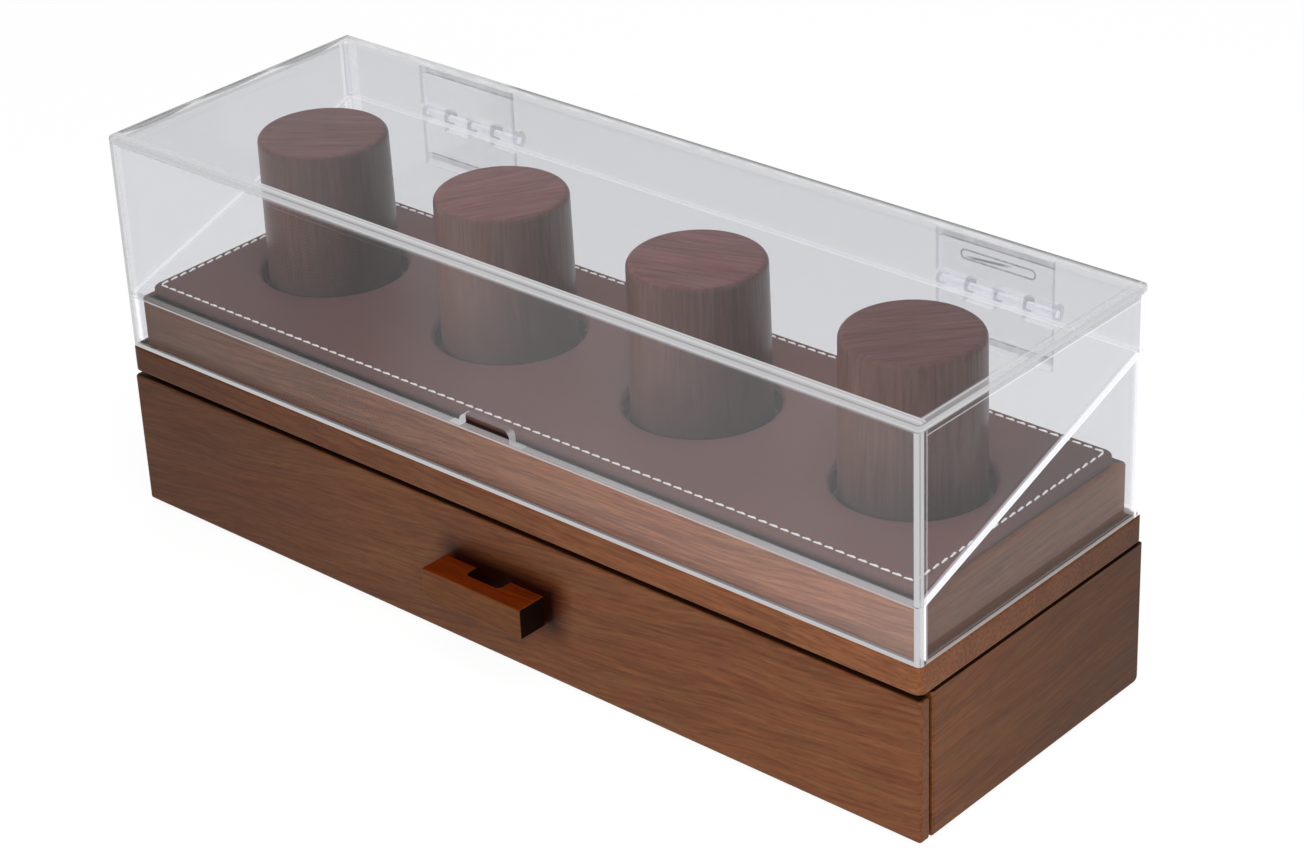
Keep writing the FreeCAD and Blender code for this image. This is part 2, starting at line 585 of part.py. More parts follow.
def build():
    """Every piece by its name. A list is one group of like pieces."""
    parts = {
        "side_left": carcass_side(LEFT, BAY_LEFT),
        "side_right": carcass_side(RIGHT, BAY_RIGHT),
        "back_panel": back_panel(),
        "bottom_board": bottom_board(),
        "deck": deck(),
        "carcass_dowels": carcass_dowels(),
        "kicker_left": kicker(BAY_LEFT, 1),
        "kicker_right": kicker(BAY_RIGHT, -1),
        "drawer_stop_left": drawer_stop(LEFT + STOP_INSET),
        "drawer_stop_right": drawer_stop(RIGHT - STOP_INSET),
        "plinth_core": plinth_core(),
        "plinth_screws": plinth_screws(),
        "pad_board": pad_board(),
        "pad_leather": pad_leather(),
        "drawer_front": drawer_front(),
        "drawer_pull": pull(),
        "pull_screws": pull_screws(),
        "drawer_inner_front": inner_front(),
        "drawer_back": drawer_back(),
        "drawer_side_left": drawer_side(BOX_LEFT, 1),
        "drawer_side_right": drawer_side(BOX_RIGHT, -1),
        "drawer_base": base_panel(),
        "drawer_lining": drawer_lining(),
        "cover_front": cover_front(),
        "cover_rear": cover_rear(),
        "cover_left": end_sheet(COVER_LEFT, True),
        "cover_right": end_sheet(COVER_RIGHT - SHEET, True),
        "lid_top": lid_top(),
        "lid_front": lid_front(),
        "lid_rear": lid_rear(),
        "lid_left": end_sheet(COVER_LEFT, False),
        "lid_right": end_sheet(COVER_RIGHT - SHEET, False),
    }
    parts.update(feet())
    parts.update(plinth_rails())
    for number, x in enumerate(pillar_centres(), start=1):
        parts[f"pocket_felt_{number}"] = pocket_felt(x)
        parts[f"pillar_{number}"] = pillar(x)
    for end, x in (("left", LEFT + HINGE_INSET), ("right", RIGHT - HINGE_INSET)):
        parts[f"hinge_{end}_upper_leaf"] = hinge_leaf(x, 1, 1)
        parts[f"hinge_{end}_lower_leaf"] = hinge_leaf(x, -1, 0)
        parts[f"hinge_{end}_pin"] = hinge_pin(x)
    return parts


def main():
    os.makedirs("parts", exist_ok=True)
    for name, shape in build().items():
        if isinstance(shape, list):
            shape = Part.makeCompound(shape)
        shape.exportStep(f"parts/{name}.step")
    print("lid axis: y", round(HINGE_AXIS_Y, 3), "z", round(HINGE_LEVEL, 3))
    print("case height:", round(COVER_TOP, 3))


main()
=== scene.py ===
import math
import random

import bpy
from bpy.props import FloatProperty, FloatVectorProperty, PointerProperty
from bpy.types import Operator, Panel, PropertyGroup
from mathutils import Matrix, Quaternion, Vector, noise


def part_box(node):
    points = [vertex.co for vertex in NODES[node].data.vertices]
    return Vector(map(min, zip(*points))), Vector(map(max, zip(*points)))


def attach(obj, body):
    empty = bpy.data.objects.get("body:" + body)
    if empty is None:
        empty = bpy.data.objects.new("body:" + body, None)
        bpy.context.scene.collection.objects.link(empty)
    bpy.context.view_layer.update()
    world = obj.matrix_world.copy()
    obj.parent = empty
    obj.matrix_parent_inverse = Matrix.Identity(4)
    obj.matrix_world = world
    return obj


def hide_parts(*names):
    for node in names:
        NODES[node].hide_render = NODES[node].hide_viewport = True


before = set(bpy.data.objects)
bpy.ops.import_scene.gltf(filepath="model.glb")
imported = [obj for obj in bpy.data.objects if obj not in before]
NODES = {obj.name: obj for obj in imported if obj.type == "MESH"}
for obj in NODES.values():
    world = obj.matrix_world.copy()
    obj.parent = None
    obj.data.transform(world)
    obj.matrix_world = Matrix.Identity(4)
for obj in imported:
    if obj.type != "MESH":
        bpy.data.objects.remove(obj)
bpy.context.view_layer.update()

bl_info = {
    "name": "Watch Display Case",
    "version": (1, 0, 0),
    "blender": (4, 5, 0),
    "location": "3D View > Sidebar > Display Case",
    "description": "Finishes a walnut watch display case with a clear hinged box and a leather pad",
    "category": "Object",
}

MM = 0.001

# Places that several pieces share, in metres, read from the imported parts.
CASE_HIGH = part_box("deck")[1]
BOX_LOW, BOX_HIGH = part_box("lid_top")
PAD_LOW, PAD_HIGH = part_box("pad_leather")
PILLARS = [(low + high) / 2 for low, high in (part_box(f"pillar_{number}") for number in (1, 2, 3, 4))]
POCKET_RADIUS = 26.4 * MM
LEAF = 3.0 * MM

# Stretches in millimetres over which painted falloff of light darkens the wood along the case.
LEFT_END = -178.0
FRONT_TO_BACK = (-55.0, 60.0)

# How far a surface turns before it counts as facing up, endways or straight out of its sheet.
FACES_UP = (0.6, 0.98)
FACES_ALONG = (0.7, 0.9)
FACES_ACROSS = (0.45, 0.8)


# Shader trees

class Field:
    """A value or colour that varies over a surface. Arithmetic on it adds Math nodes."""

    def __init__(self, finish, socket):
        self.finish = finish
        self.socket = socket

    def math(self, operation, *others):
        return self.finish.node("Math", {"operation": operation}, dict(enumerate((self, *others))))

    def __add__(self, other):
        return self.math("ADD", other)

    def __sub__(self, other):
        return self.math("SUBTRACT", other)

    def __mul__(self, other):
        return self.math("MULTIPLY", other)

    def __pow__(self, other):
        return self.math("POWER", other)

    def __rsub__(self, other):
        return self.math("MULTIPLY", -1.0).math("ADD", other)

    __radd__ = __add__
    __rmul__ = __mul__

    def __abs__(self):
        return self.math("ABSOLUTE")

    def peak(self, other):
        return self.math("MAXIMUM", other)

    def ramp(self, none, full):
        """0 at one value and 1 at another, which may be the lower one: straight between, level beyond."""
        slope = 1.0 / (full - none)
        return self.finish.node("Math", {"operation": "MULTIPLY_ADD", "use_clamp": True},
                                {0: self, 1: slope, 2: -none * slope})

    def profile(self, *points):
        """A strength drawn through (value, strength) points, level before the first and after the last."""
        low, high = points[0][0], points[-1][0]
        stops = [((value - low) / (high - low), (strength,) * 3) for value, strength in points]
        return self.finish.stops(self.ramp(low, high), *stops)


class Finish:
    """A material and the calls that fill its node tree."""

    def __init__(self, name="", owner=None):
        self.material = owner or bpy.data.materials.new(name)
        self.material.use_nodes = True
        self.tree = self.material.node_tree
        self.tree.nodes.clear()

    def node(self, kind, settings=None, values=None, out=0):
        """Any node: its settings first, then the values or links of its sockets."""
        made = self.tree.nodes.new("ShaderNode" + kind)
        for name, value in (settings or {}).items():
            if name == "stops":
                self.set_stops(made.color_ramp, value)
            else:
                setattr(made, name, value)
        for name, value in (values or {}).items():
            if isinstance(value, Field):
                self.tree.links.new(value.socket, made.inputs[name])
            else:
                made.inputs[name].default_value = value
        return Field(self, made.outputs[out]) if made.outputs else None

    @staticmethod
    def set_stops(ramp, stops):
        while len(ramp.elements) < len(stops):
            ramp.elements.new(0.5)
        for element, (place, colour) in zip(ramp.elements, stops):
            element.position = place
            element.color = (*colour, 1.0)

    def place(self):
        """The point on the piece in millimetres, which stays with the piece when it moves."""
        point = self.node("TexCoord", out="Object")
        return self.node("VectorMath", {"operation": "SCALE"}, {0: point, "Scale": 1000.0})

    def facing(self):
        """The three parts of the surface's own direction, which turn with the piece."""
        return self.parts(self.node("TexCoord", out="Normal"))

    def parts(self, vector):
        split = self.node("SeparateXYZ", {}, {0: vector}).socket.node
        return [Field(self, socket) for socket in split.outputs]

    def along(self, point, direction):
        settings = {"operation": "DOT_PRODUCT"}
        return self.node("VectorMath", settings, {0: point, 1: direction}, out="Value")

    def vector(self, x, y, z):
        return self.node("CombineXYZ", {}, {0: x, 1: y, 2: z})

    def noise(self, vector, scale=1.0, detail=2.0, roughness=0.5):
        values = {"Vector": vector, "Scale": scale, "Detail": detail, "Roughness": roughness}
        return self.node("TexNoise", {}, values)

    def mix(self, share, first, second, kind="MIX"):
        """Two colours mixed by a share."""
        settings = {"data_type": "RGBA", "blend_type": kind, "clamp_factor": True}
        return self.node("Mix", settings, {0: share, 6: rgba(first), 7: rgba(second)}, out=2)

    def stops(self, share, *stops):
        return self.node("ValToRGB", {"stops": stops}, {0: share})

    def bump(self, height, strength, distance):
        values = {"Height": height, "Strength": strength, "Distance": distance}
        return self.node("Bump", {}, values)

    def principled(self, **values):
        sockets = {name.replace("_", " "): rgba(value) if name.endswith("Color") else value
                   for name, value in values.items()}
        return self.node("BsdfPrincipled", {}, sockets)

    def blend(self, share, first, second):
        return self.node("MixShader", {}, {0: share, 1: first, 2: second})

    def surface(self, shader):
        self.node("OutputMaterial", {}, {"Surface": shader})
        return self.material


def rgba(colour):
    return colour if isinstance(colour, Field) else (*tuple(colour)[:3], 1.0)


BLACK, WHITE = (0, 0, 0), (1, 1, 1)


# Meshes

def new_piece(name, points, faces, material, body):
    """A piece from points in metres, which rides on a body and takes a slot's finish."""
    mesh = bpy.data.meshes.new(name)
    mesh.from_pydata([tuple(p) for p in points], [], faces)
    mesh.validate()
    mesh.update()
    mesh.shade_smooth()
    piece = bpy.data.objects.new(name, mesh)
    bpy.context.scene.collection.objects.link(piece)
    mesh.materials.append(material)
    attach(piece, body)
    return piece


def box_in_mm(name):
    low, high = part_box(name)
    return low / MM, high / MM


def dress(material, *names):
    """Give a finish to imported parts."""
    for name in names:
        mesh = NODES[name].data
        mesh.materials.clear()
        mesh.materials.append(material)


class Weld:
    """Points and faces of a mesh, where points in one place are one point."""

    per_metre = 2e5

    def __init__(self):
        self.points = []
        self.faces = []
        self.known = {}

    def point(self, place):
        """The number of the point in a place, shared by all within a few thousandths of a millimetre."""
        key = tuple(round(c * self.per_metre) for c in place)
        if key not in self.known:
            self.known[key] = len(self.points)
            self.points.append(Vector(place))
        return self.known[key]

    def face(self, *corners):
        """A face without the corners that fell together, or none where fewer than three are left."""
        kept = [c for i, c in enumerate(corners) if c != corners[i - 1]]
        if len(set(kept)) > 2:
            self.faces.append(kept)

    def strip(self, first, second, closed=False):
        """Faces between two rows of points."""
        ends = range(len(first) if closed else len(first) - 1)
        for i in ends:
            j = (i + 1) % len(first)
            self.face(first[i], first[j], second[j], second[i])


# Finishes

def grain_lines(first, second, tilt=0.0):
    """The grain's direction, tilted in the board's face, and the two directions across it."""
    turn = math.radians(tilt)
    first, second = Vector(first), Vector(second)
    along = first * math.cos(turn) + second * math.sin(turn)
    across = second * math.cos(turn) - first * math.sin(turn)
    return along, across, along.cross(across)


X, Y, Z = Vector((1, 0, 0)), Vector((0, 1, 0)), Vector((0, 0, 1))


def wood_figure(finish, lines, seed, coarse=1.0):
    """How light, how red and how open-pored the wood is, each from 0 to 1.

    Each is noise drawn out along the grain: its scale, per millimetre, is small along the grain and
    large across it. The seed shifts it, so that no two boards are alike."""
    point = finish.place()
    u, v, w = (finish.along(point, line) for line in lines)
    wander = finish.noise(finish.vector(u * 0.013 + seed, v * 0.035, w * 0.035), detail=1.0)
    v = v + wander * 9
    slow = finish.noise(finish.vector(u * 0.011 + seed, v * 0.10, w * 0.10), detail=2.0)
    strands = finish.noise(finish.vector(u * 0.045, v * 0.85 + seed, w * 0.85), detail=4.0, roughness=0.6)
    flecks = finish.noise(finish.vector(u * 0.16 + seed, v * 1.9, w * 1.9), detail=1.0)
    tone = finish.noise(finish.vector(u * 0.03, v * 0.24, w * 0.24 + seed), detail=2.0)
    light = (slow - 0.5) * 0.7 * coarse + (strands - 0.5) * 1.9 + 0.5
    return light, tone.ramp(0.25, 0.75), flecks.ramp(0.56, 0.74)


def wood_colour(finish, look, figure, tone=1.0, warmth=0.0):
    """The figure's colour: three browns along it, and the same three a little redder."""
    light, red, pores = figure
    dark, middle, pale = (Vector(c) * tone for c in (look.dark, look.stain, look.pale))
    warm = Vector((1.0 + 0.15 * warmth, 1.0 + 0.05 * warmth, 1.0 - 0.5 * warmth))
    places = (0.15, 0.5, 0.88)
    browns = [tuple(c * warm) for c in (dark, middle, pale)]
    reds = [(c[0] * 1.06, c[1] * 0.84, c[2] * 0.8) for c in browns]
    brown, reddish = (finish.stops(light, *zip(places, colours)) for colours in (browns, reds))
    return finish.mix(pores * look.pores, finish.mix(red, brown, reddish), tuple(dark * 0.6))


def walnut(name, look, lines, seed=0.0, tone=1.0, warmth=0.0, top=None, end_grain=None, painted_foot_shade=None,
           crown=None, painted_top_shade=None, painted_shadow=None, painted_falloff=None, grain=1.0, coat=1.0, open_pores=1.0):
    """Stained walnut under a satin varnish that mirrors what stands close to it.

    A piece with another grain on its top face names it; crown tints that face as painted light and shade.
    End grain faces go nearly black. A foot close to the pad is painted darker up to a height in
    millimetres, as painted shade and reflection of the pad. A top face in a gap can take a painted shade
    colour, the wood round a fixed piece a painted shadow, and a whole board a painted falloff of light
    towards one end."""
    finish = Finish(name)
    light, red, pores = wood_figure(finish, lines, seed)
    light = (light - 0.5) * grain + 0.5
    pores = pores * open_pores
    colour = wood_colour(finish, look, (light, red, pores), tone, warmth)
    upper = finish.facing()[2].ramp(*FACES_UP)
    gloss = min(1.0, look.coat * coat)
    if top:
        streaks, *rest = wood_figure(finish, top, seed + 7.3, coarse=1.3)
        turned = ((streaks - 0.5) * 1.15 + 0.5, *rest)
        colour = finish.mix(upper, colour, wood_colour(finish, look, turned, tone, warmth))
    if end_grain is not None:
        ends = abs(finish.facing()[end_grain]).ramp(*FACES_ALONG)
        colour = finish.mix(ends, colour, tuple(Vector(look.dark) * 0.05))
    # Painted shade and reflection of the dark pad, darkening a foot that stands close to it.
    if painted_foot_shade:
        low, high = painted_foot_shade
        near = finish.parts(finish.place())[2].ramp(high, low)
        colour = finish.mix(near * 0.7, colour, look.foot_shade)
    # Painted light and shade on the top face: its colour is multiplied by the crown tint and its varnish
    # mirrors less.
    if crown:
        colour = finish.mix(upper, colour, finish.mix(1.0, colour, crown, "MULTIPLY"))
        gloss = (1 - upper * 0.8) * gloss
    # Painted shade: a top face that lies in a gap takes a dark colour.
    if painted_top_shade:
        colour = finish.mix(upper * 0.92, colour, painted_top_shade)
    # Painted shadow and reflection: the wood is darkened and reddened round a fixed piece.
    if painted_shadow:
        shadow_tints = (0.0, WHITE), (0.5, (0.5, 0.38, 0.28)), (1.0, (0.07, 0.02, 0.01))
        colour = finish.mix(1.0, colour, finish.stops(painted_shadow(finish), *shadow_tints), "MULTIPLY")
    # Painted falloff of light: the whole board is darkened towards one end.
    if painted_falloff:
        colour = finish.mix(painted_falloff(*finish.parts(finish.place())), colour, BLACK)
    shader = finish.principled(
        Base_Color=colour, Roughness=light * 0.10 + (look.satin - 0.05), Specular_IOR_Level=0.08,
        Coat_Weight=gloss, Coat_Roughness=look.varnish / coat ** 0.5,
        Normal=finish.bump(light * 0.3 - pores, 0.08, 0.05 * MM))
    return finish.surface(shader)


def gap_shade_colour(look):
    """Painted shade: the stain's darkest streaks dimmed, for wood that faces a dark gap."""
    return tuple(Vector(look.dark) * 0.1)


def plain_wood(name, look, lines, seed=0.0):
    """Sanded wood without varnish."""
    finish = Finish(name)
    light, _, pores = wood_figure(finish, lines, seed)
    dark, pale = Vector(look.inner) * 0.6, Vector(look.inner) * 1.25
    colour = finish.mix(pores * 0.5, finish.stops(light, (0.1, dark), (0.9, pale)), dark * 0.6)
    shader = finish.principled(Base_Color=colour, Roughness=0.72 - light * 0.1,
                               Normal=finish.bump(light - pores, 0.3, 0.1 * MM))
    return finish.surface(shader)


def leather(name, look):
    """Fine-grained leather: small pebbles between creases, and a slow change of tone."""
    finish = Finish(name)
    point = finish.place()
    x, y, z = finish.parts(point)
    cells = finish.node("TexVoronoi", {"feature": "DISTANCE_TO_EDGE"},
                        {"Vector": point, "Scale": 1.0 / look.pebble, "Randomness": 1.0})
    creases = cells.ramp(0.02, 0.22)
    fine = finish.noise(point, scale=2.2, detail=3.0, roughness=0.6)
    tone = finish.noise(point, scale=0.03, detail=3.0)
    base = Vector(look.colour)
    colour = finish.stops(tone * 0.75 + fine * 0.25, (0.3, base * 0.94), (0.7, base * 1.06))
    # Painted shade in the creases.
    colour = finish.mix((1 - creases) * 0.35, colour, base * 0.8)

    # Painted falloff of light: darker to the left; painted shade by the right rear corner.
    along = x.profile((-170.0, 0.78), (-90.0, 0.84), (-20.0, 0.96), (60.0, 1.0))
    painted_shade_rear_corner = x.ramp(120.0, 160.0) * y.ramp(-20.0, 20.0)
    colour = finish.mix(painted_shade_rear_corner * 0.5, finish.mix(1 - along, colour, BLACK), BLACK)
    # Painted shade on the pad's rolled edge.
    past_edge = abs(y - (PAD_LOW.y + PAD_HIGH.y) / 2 / MM) - (PAD_HIGH.y - PAD_LOW.y) / 2 / MM
    painted_edge_shade = past_edge.ramp(-1.6, -0.4) * z.ramp(PAD_HIGH.z / MM - 0.9, PAD_LOW.z / MM + 0.3)
    colour = finish.mix(painted_edge_shade * 0.8, colour, base * 0.2)
    shader = finish.principled(Base_Color=colour, Roughness=0.52 - creases * 0.06 + fine * 0.06,
                               Specular_IOR_Level=0.3,
                               Normal=finish.bump(creases * 0.6 + fine * 0.4, 0.11, 0.06 * MM))
    return finish.surface(shader)


def felt(name, colour):
    """Short dark felt with loose fibres."""
    finish = Finish(name)
    point = finish.place()
    fuzz = finish.noise(point, scale=3.2, detail=5.0, roughness=0.75)
    patches = finish.noise(point, scale=0.12, detail=2.0)
    base = Vector(colour)
    shade = finish.stops(fuzz * 0.7 + patches * 0.3, (0.3, base * 0.6), (0.7, base * 1.5))
    shader = finish.principled(Base_Color=shade, Roughness=0.95, Sheen_Weight=0.35, Sheen_Roughness=0.5,
                               Normal=finish.bump(fuzz, 0.8, 0.4 * MM))
    return finish.surface(shader)


def flecked(name, flecks, first, second, roughness, relief, **more):
    """A plain finish whose tone wanders between two colours with one noise.

    flecks is the noise's scale, detail and roughness. roughness gives the surface's own from that noise,
    and relief is the strength and the depth of its bump."""
    finish = Finish(name)
    scale, detail, rough = flecks
    noise_field = finish.noise(finish.place(), scale, detail, rough)
    colour = finish.stops(noise_field, (0.3, first), (0.7, second))
    shader = finish.principled(Base_Color=colour, Roughness=roughness(noise_field),
                               Normal=finish.bump(noise_field, *relief), **more)
    return finish.surface(shader)


def fibreboard(name):
    return flecked(name, (1.1, 4.0, 0.7), (0.14, 0.075, 0.04), (0.27, 0.16, 0.09),
                   lambda chips: 0.85, (0.4, 0.1 * MM))


def thread(name, colour):
    """Pale thread with a faint painted glow that keeps it bright."""
    base = Vector(colour)
    return flecked(name, (5.0, 3.0, 0.5), base * 0.82, base, lambda plies: 0.62, (0.4, 0.1 * MM),
                   Emission_Color=base, Emission_Strength=0.3)


def zinc(name):
    """Zinc-plated steel with turning marks."""
    return flecked(name, (3.0, 4.0, 0.7), (0.50, 0.50, 0.48), (0.72, 0.72, 0.69),
                   lambda marks: marks * 0.25 + 0.2, (0.2, 0.05 * MM), Metallic=1.0)


def rubber(name):
    return flecked(name, (1.4, 4.0, 0.65), (0.012, 0.012, 0.012), (0.03, 0.03, 0.03),
                   lambda bloom: 0.85 - bloom * 0.2, (0.3, 0.1 * MM))


class ClearSheet(Finish):
    """Polished clear sheet, whose cut edges and glued seams are painted as pale bands that glow faintly.

    Its fields are distances in millimetres from the outer faces of the closed box, and skin and cut,
    which are 1 on the sheet's outer face and 1 on its edges. lie is the axis across the sheet, and
    outer the distance field of its outer face."""

    def __init__(self, name, look, lie, outer):
        super().__init__(name)
        self.look = look
        self.lie = lie
        self.x, self.y, self.z = self.spot = self.parts(self.place())
        self.left = self.x + BOX_HIGH.x / MM
        self.right = BOX_HIGH.x / MM - self.x
        self.end = BOX_HIGH.x / MM - abs(self.x)
        self.front = self.y - BOX_LOW.y / MM
        self.back = BOX_HIGH.y / MM - self.y
        self.top = BOX_HIGH.z / MM - self.z
        self.deck = self.z - CASE_HIGH.z / MM
        self.leaf = self.back + LEAF / MM
        facing = self.facing()
        flat = abs(facing[lie]).ramp(*FACES_ACROSS)
        self.depth = getattr(self, outer)
        self.skin = flat * self.depth.ramp(2.0, 1.0)
        self.cut = 1 - flat
        self.endways = abs(facing[0]).ramp(*FACES_ALONG)
        self.glow = self.shade = None

    @staticmethod
    def strongest(former, mask, strengths):
        for strength in strengths:
            share = mask * strength
            former = share if former is None else former.peak(share)
        return former

    def light(self, mask, *strengths):
        """Painted pale light in the sheet, glowing faintly, inside the mask and as strong as the strongest
        says.
        """
        self.glow = self.strongest(self.glow, mask, strengths)

    def darken(self, mask, *strengths):
        """Painted dark reflections in the sheet, inside the mask."""
        self.shade = self.strongest(self.shade, mask, strengths)

    def mottle(self, scale, low, high):
        """Noise drawn out along the sheet, which makes glue and painted light and shade uneven."""
        stretched = self.vector(*[place * (0.5 if axis == self.lie else 0.11) * scale
                                  for axis, place in enumerate(self.spot)])
        return self.noise(stretched, detail=3.0, roughness=0.6).profile((0.3, low), (0.7, high))

    def made(self, tint=1.0, painted_glow=1.0):
        """The material: clear, mirroring more at a grazing angle, with its painted dark reflections and
        pale glow.
        """
        look = self.look
        facing = self.node("LayerWeight", {}, {"Blend": 0.5}, out="Facing")
        clear = self.node("BsdfTransparent", {}, {"Color": rgba(Vector(look.tint) * tint)})
        mirror = self.node("BsdfGlossy", {}, {"Roughness": 0.02})
        shader = self.blend(facing ** 5.0 * 0.96 + 0.03, clear, mirror)
        if self.shade:
            dark = self.principled(Base_Color=look.shadow, Roughness=0.3)
            shader = self.blend(self.shade, shader, dark)
        if self.glow:
            # Painted light: the pale places glow a little, though the sheet is no lamp.
            edge = self.principled(Base_Color=Vector(look.edge) * 0.33, Roughness=0.25,
                                   Emission_Color=look.edge, Emission_Strength=look.painted_glow * painted_glow)
            shader = self.blend(self.glow, shader, edge)
        return self.surface(shader)


# Sizes and colours that a user would change

class WoodLook(PropertyGroup):
    """The stained walnut and the plain wood inside"""

    stain: FloatVectorProperty(name="Stain", description="Middle tone of the stained walnut",
                               subtype="COLOR", size=3, min=0, max=1, default=(0.182, 0.071, 0.0265))
    dark: FloatVectorProperty(name="Dark Grain", description="Darkest streaks of the stained walnut",
                              subtype="COLOR", size=3, min=0, max=1, default=(0.130, 0.046, 0.0165))
    pale: FloatVectorProperty(name="Pale Grain", description="Lightest streaks of the stained walnut",
                              subtype="COLOR", size=3, min=0, max=1, default=(0.233, 0.098, 0.0390))
    inner: FloatVectorProperty(name="Inner Wood", description="Plain wood of the drawer box and the rails",
                               subtype="COLOR", size=3, min=0, max=1, default=(0.30, 0.155, 0.075))
    # Painted shade and reflection of the pad on the pillars' feet.
    foot_shade: FloatVectorProperty(name="Dull Foot", description="Tone of the pillars' feet close to the pad",
                              subtype="COLOR", size=3, min=0, max=1, default=(0.042, 0.031, 0.029))
    pores: FloatProperty(name="Pores", description="How dark the open pores are",
                         subtype="FACTOR", min=0, max=1, default=0.5)
    satin: FloatProperty(name="Satin", description="Roughness of the wood under the varnish",
                         subtype="FACTOR", min=0.1, max=1, default=0.45)
    varnish: FloatProperty(name="Varnish", description="Roughness of the varnish's own gloss",
                           subtype="FACTOR", min=0.02, max=1, default=0.2)
    coat: FloatProperty(name="Varnish Coat", description="How much the varnish mirrors",
                        subtype="FACTOR", min=0, max=1, default=0.12)


class PadLook(PropertyGroup):
    """The leather pad"""

    colour: FloatVectorProperty(name="Leather", description="Colour of the leather",
                                subtype="COLOR", size=3, min=0, max=1, default=(0.215, 0.095, 0.084))
    pebble: FloatProperty(name="Pebble Width", min=0.2, max=4, default=0.55,
                          description="Width of one pebble of the grain, in millimetres")
    crown: FloatProperty(name="Crown", description="How far the middle stands above the sewn edge",
                         unit="LENGTH", min=0, max=0.003, default=0.00035)
    edge: FloatProperty(name="Edge Rounding", description="Rounding of the pad's outer edge",
                        unit="LENGTH", min=0.0005, max=0.0035, default=0.0013)
    groove: FloatProperty(name="Seam Depth", description="How far the thread pulls the leather down",
                          unit="LENGTH", min=0, max=0.001, default=0.0002)
    skin: FloatProperty(name="Leather Thickness", description="Thickness of the leather over its board",
                        unit="LENGTH", min=0.0005, max=0.0012, default=0.00115)


class StitchLook(PropertyGroup):
    """The sewn line round the pad"""

    colour: FloatVectorProperty(name="Thread", description="Colour of the thread",
                                subtype="COLOR", size=3, min=0, max=1, default=(0.97, 0.95, 0.93))
    pitch: FloatProperty(name="Pitch", description="From one stitch to the next",
                         unit="LENGTH", min=0.002, max=0.010, default=0.0043)
    length: FloatProperty(name="Stitch Length", description="Length of thread that shows",
                          unit="LENGTH", min=0.001, max=0.009, default=0.0037)
    width: FloatProperty(name="Thread Width", description="Width of the thread",
                         unit="LENGTH", min=0.0003, max=0.0015, default=0.00085)
    inset: FloatProperty(name="Seam Inset", description="From the pad's outline to the sewn line",
                         unit="LENGTH", min=0.0015, max=0.004, default=0.0028)
    slant: FloatProperty(name="Slant", description="How far a stitch turns out of its line",
                         subtype="ANGLE", min=0, max=0.4, default=math.radians(7))


class FeltLook(PropertyGroup):
    """The felt in the pockets and the drawer"""

    colour: FloatVectorProperty(name="Felt", description="Colour of the felt",
                                subtype="COLOR", size=3, min=0, max=1, default=(0.070, 0.074, 0.066))


class ClearLook(PropertyGroup):
    """The clear box"""

    tint: FloatVectorProperty(name="Tint", description="Light that one face lets through",
                              subtype="COLOR", size=3, min=0, max=1, default=(0.920, 0.922, 0.931))
    edge: FloatVectorProperty(name="Edge", description="Colour of the light in cut edges and seams",
                              subtype="COLOR", size=3, min=0, max=1, default=(0.93, 0.93, 0.955))
    # Painted glow: how strongly the pale light of cut edges and seams glows.
    painted_glow: FloatProperty(name="Piped Light", description="Light that the sheets lead to their cut edges",
                         subtype="FACTOR", min=0, max=1, default=0.42)
    shadow: FloatVectorProperty(name="Edge Shadow", description="Colour of the dark lines by the edges",
                                subtype="COLOR", size=3, min=0, max=1, default=(0.13, 0.12, 0.125))


class StageLook(PropertyGroup):
    """The floor, the light and the camera"""

    floor: FloatVectorProperty(name="Floor", description="Colour of the floor",
                               subtype="COLOR", size=3, min=0, max=1, default=(0.96, 0.96, 0.96))
    key: FloatProperty(name="Key Light", description="Power of the light by the front right corner",
                       unit="POWER", min=0, max=100, default=1.8)
    side: FloatProperty(name="Side Light", description="Power of the light on the pillars' left",
                        unit="POWER", min=0, max=100, default=4.2)
    top: FloatProperty(name="Top Light", description="Power of the light above",
                       unit="POWER", min=0, max=100, default=5.5)
    rear: FloatProperty(name="Rear Light", description="Power of the light behind, on the left",
                        unit="POWER", min=0, max=100, default=1.2)
    sky: FloatProperty(name="Ambient", description="Strength of the even light from all round",
                       subtype="FACTOR", min=0, max=1, default=0.19)
    mirrored: FloatProperty(name="Mirrored Studio", description="Brightness of the studio in a reflection",
                            subtype="FACTOR", min=0, max=1, default=0.55)
    lens: FloatProperty(name="Focal Length", description="Focal length of the camera, in millimetres",
                        min=20, max=300, default=91.15)
    azimuth: FloatProperty(name="Azimuth", description="How far the camera stands round to the right",
                           subtype="ANGLE", default=math.radians(42.4517))
    elevation: FloatProperty(name="Elevation", description="How high the camera looks down from",
                             subtype="ANGLE", default=math.radians(28.4253))
    roll: FloatProperty(name="Roll", description="How far the camera is turned about its own line",
                        subtype="ANGLE", default=math.radians(-2.5764))
    distance: FloatProperty(name="Distance", description="From the camera to the point it is aimed at",
                            unit="LENGTH", min=0.3, default=1.11046)


class CaseLook(PropertyGroup):
    """All that the panel shows"""

    wood: PointerProperty(type=WoodLook)
    pad: PointerProperty(type=PadLook)
    stitch: PointerProperty(type=StitchLook)
    felt: PointerProperty(type=FeltLook)
    clear: PointerProperty(type=ClearLook)
    stage: PointerProperty(type=StageLook)


# Pad and thread

def rounded(radius, inset):
    """How far a rounded edge lies under its level face, at a distance from the edge."""
    return radius - math.sqrt(radius ** 2 - (radius - min(radius, inset)) ** 2)


def unevenness(x, y, seed, waves, height):
    """A slow wave over a soft face, with so many waves to a metre."""
    return noise.noise(Vector((x * waves, y * waves, seed))) * height


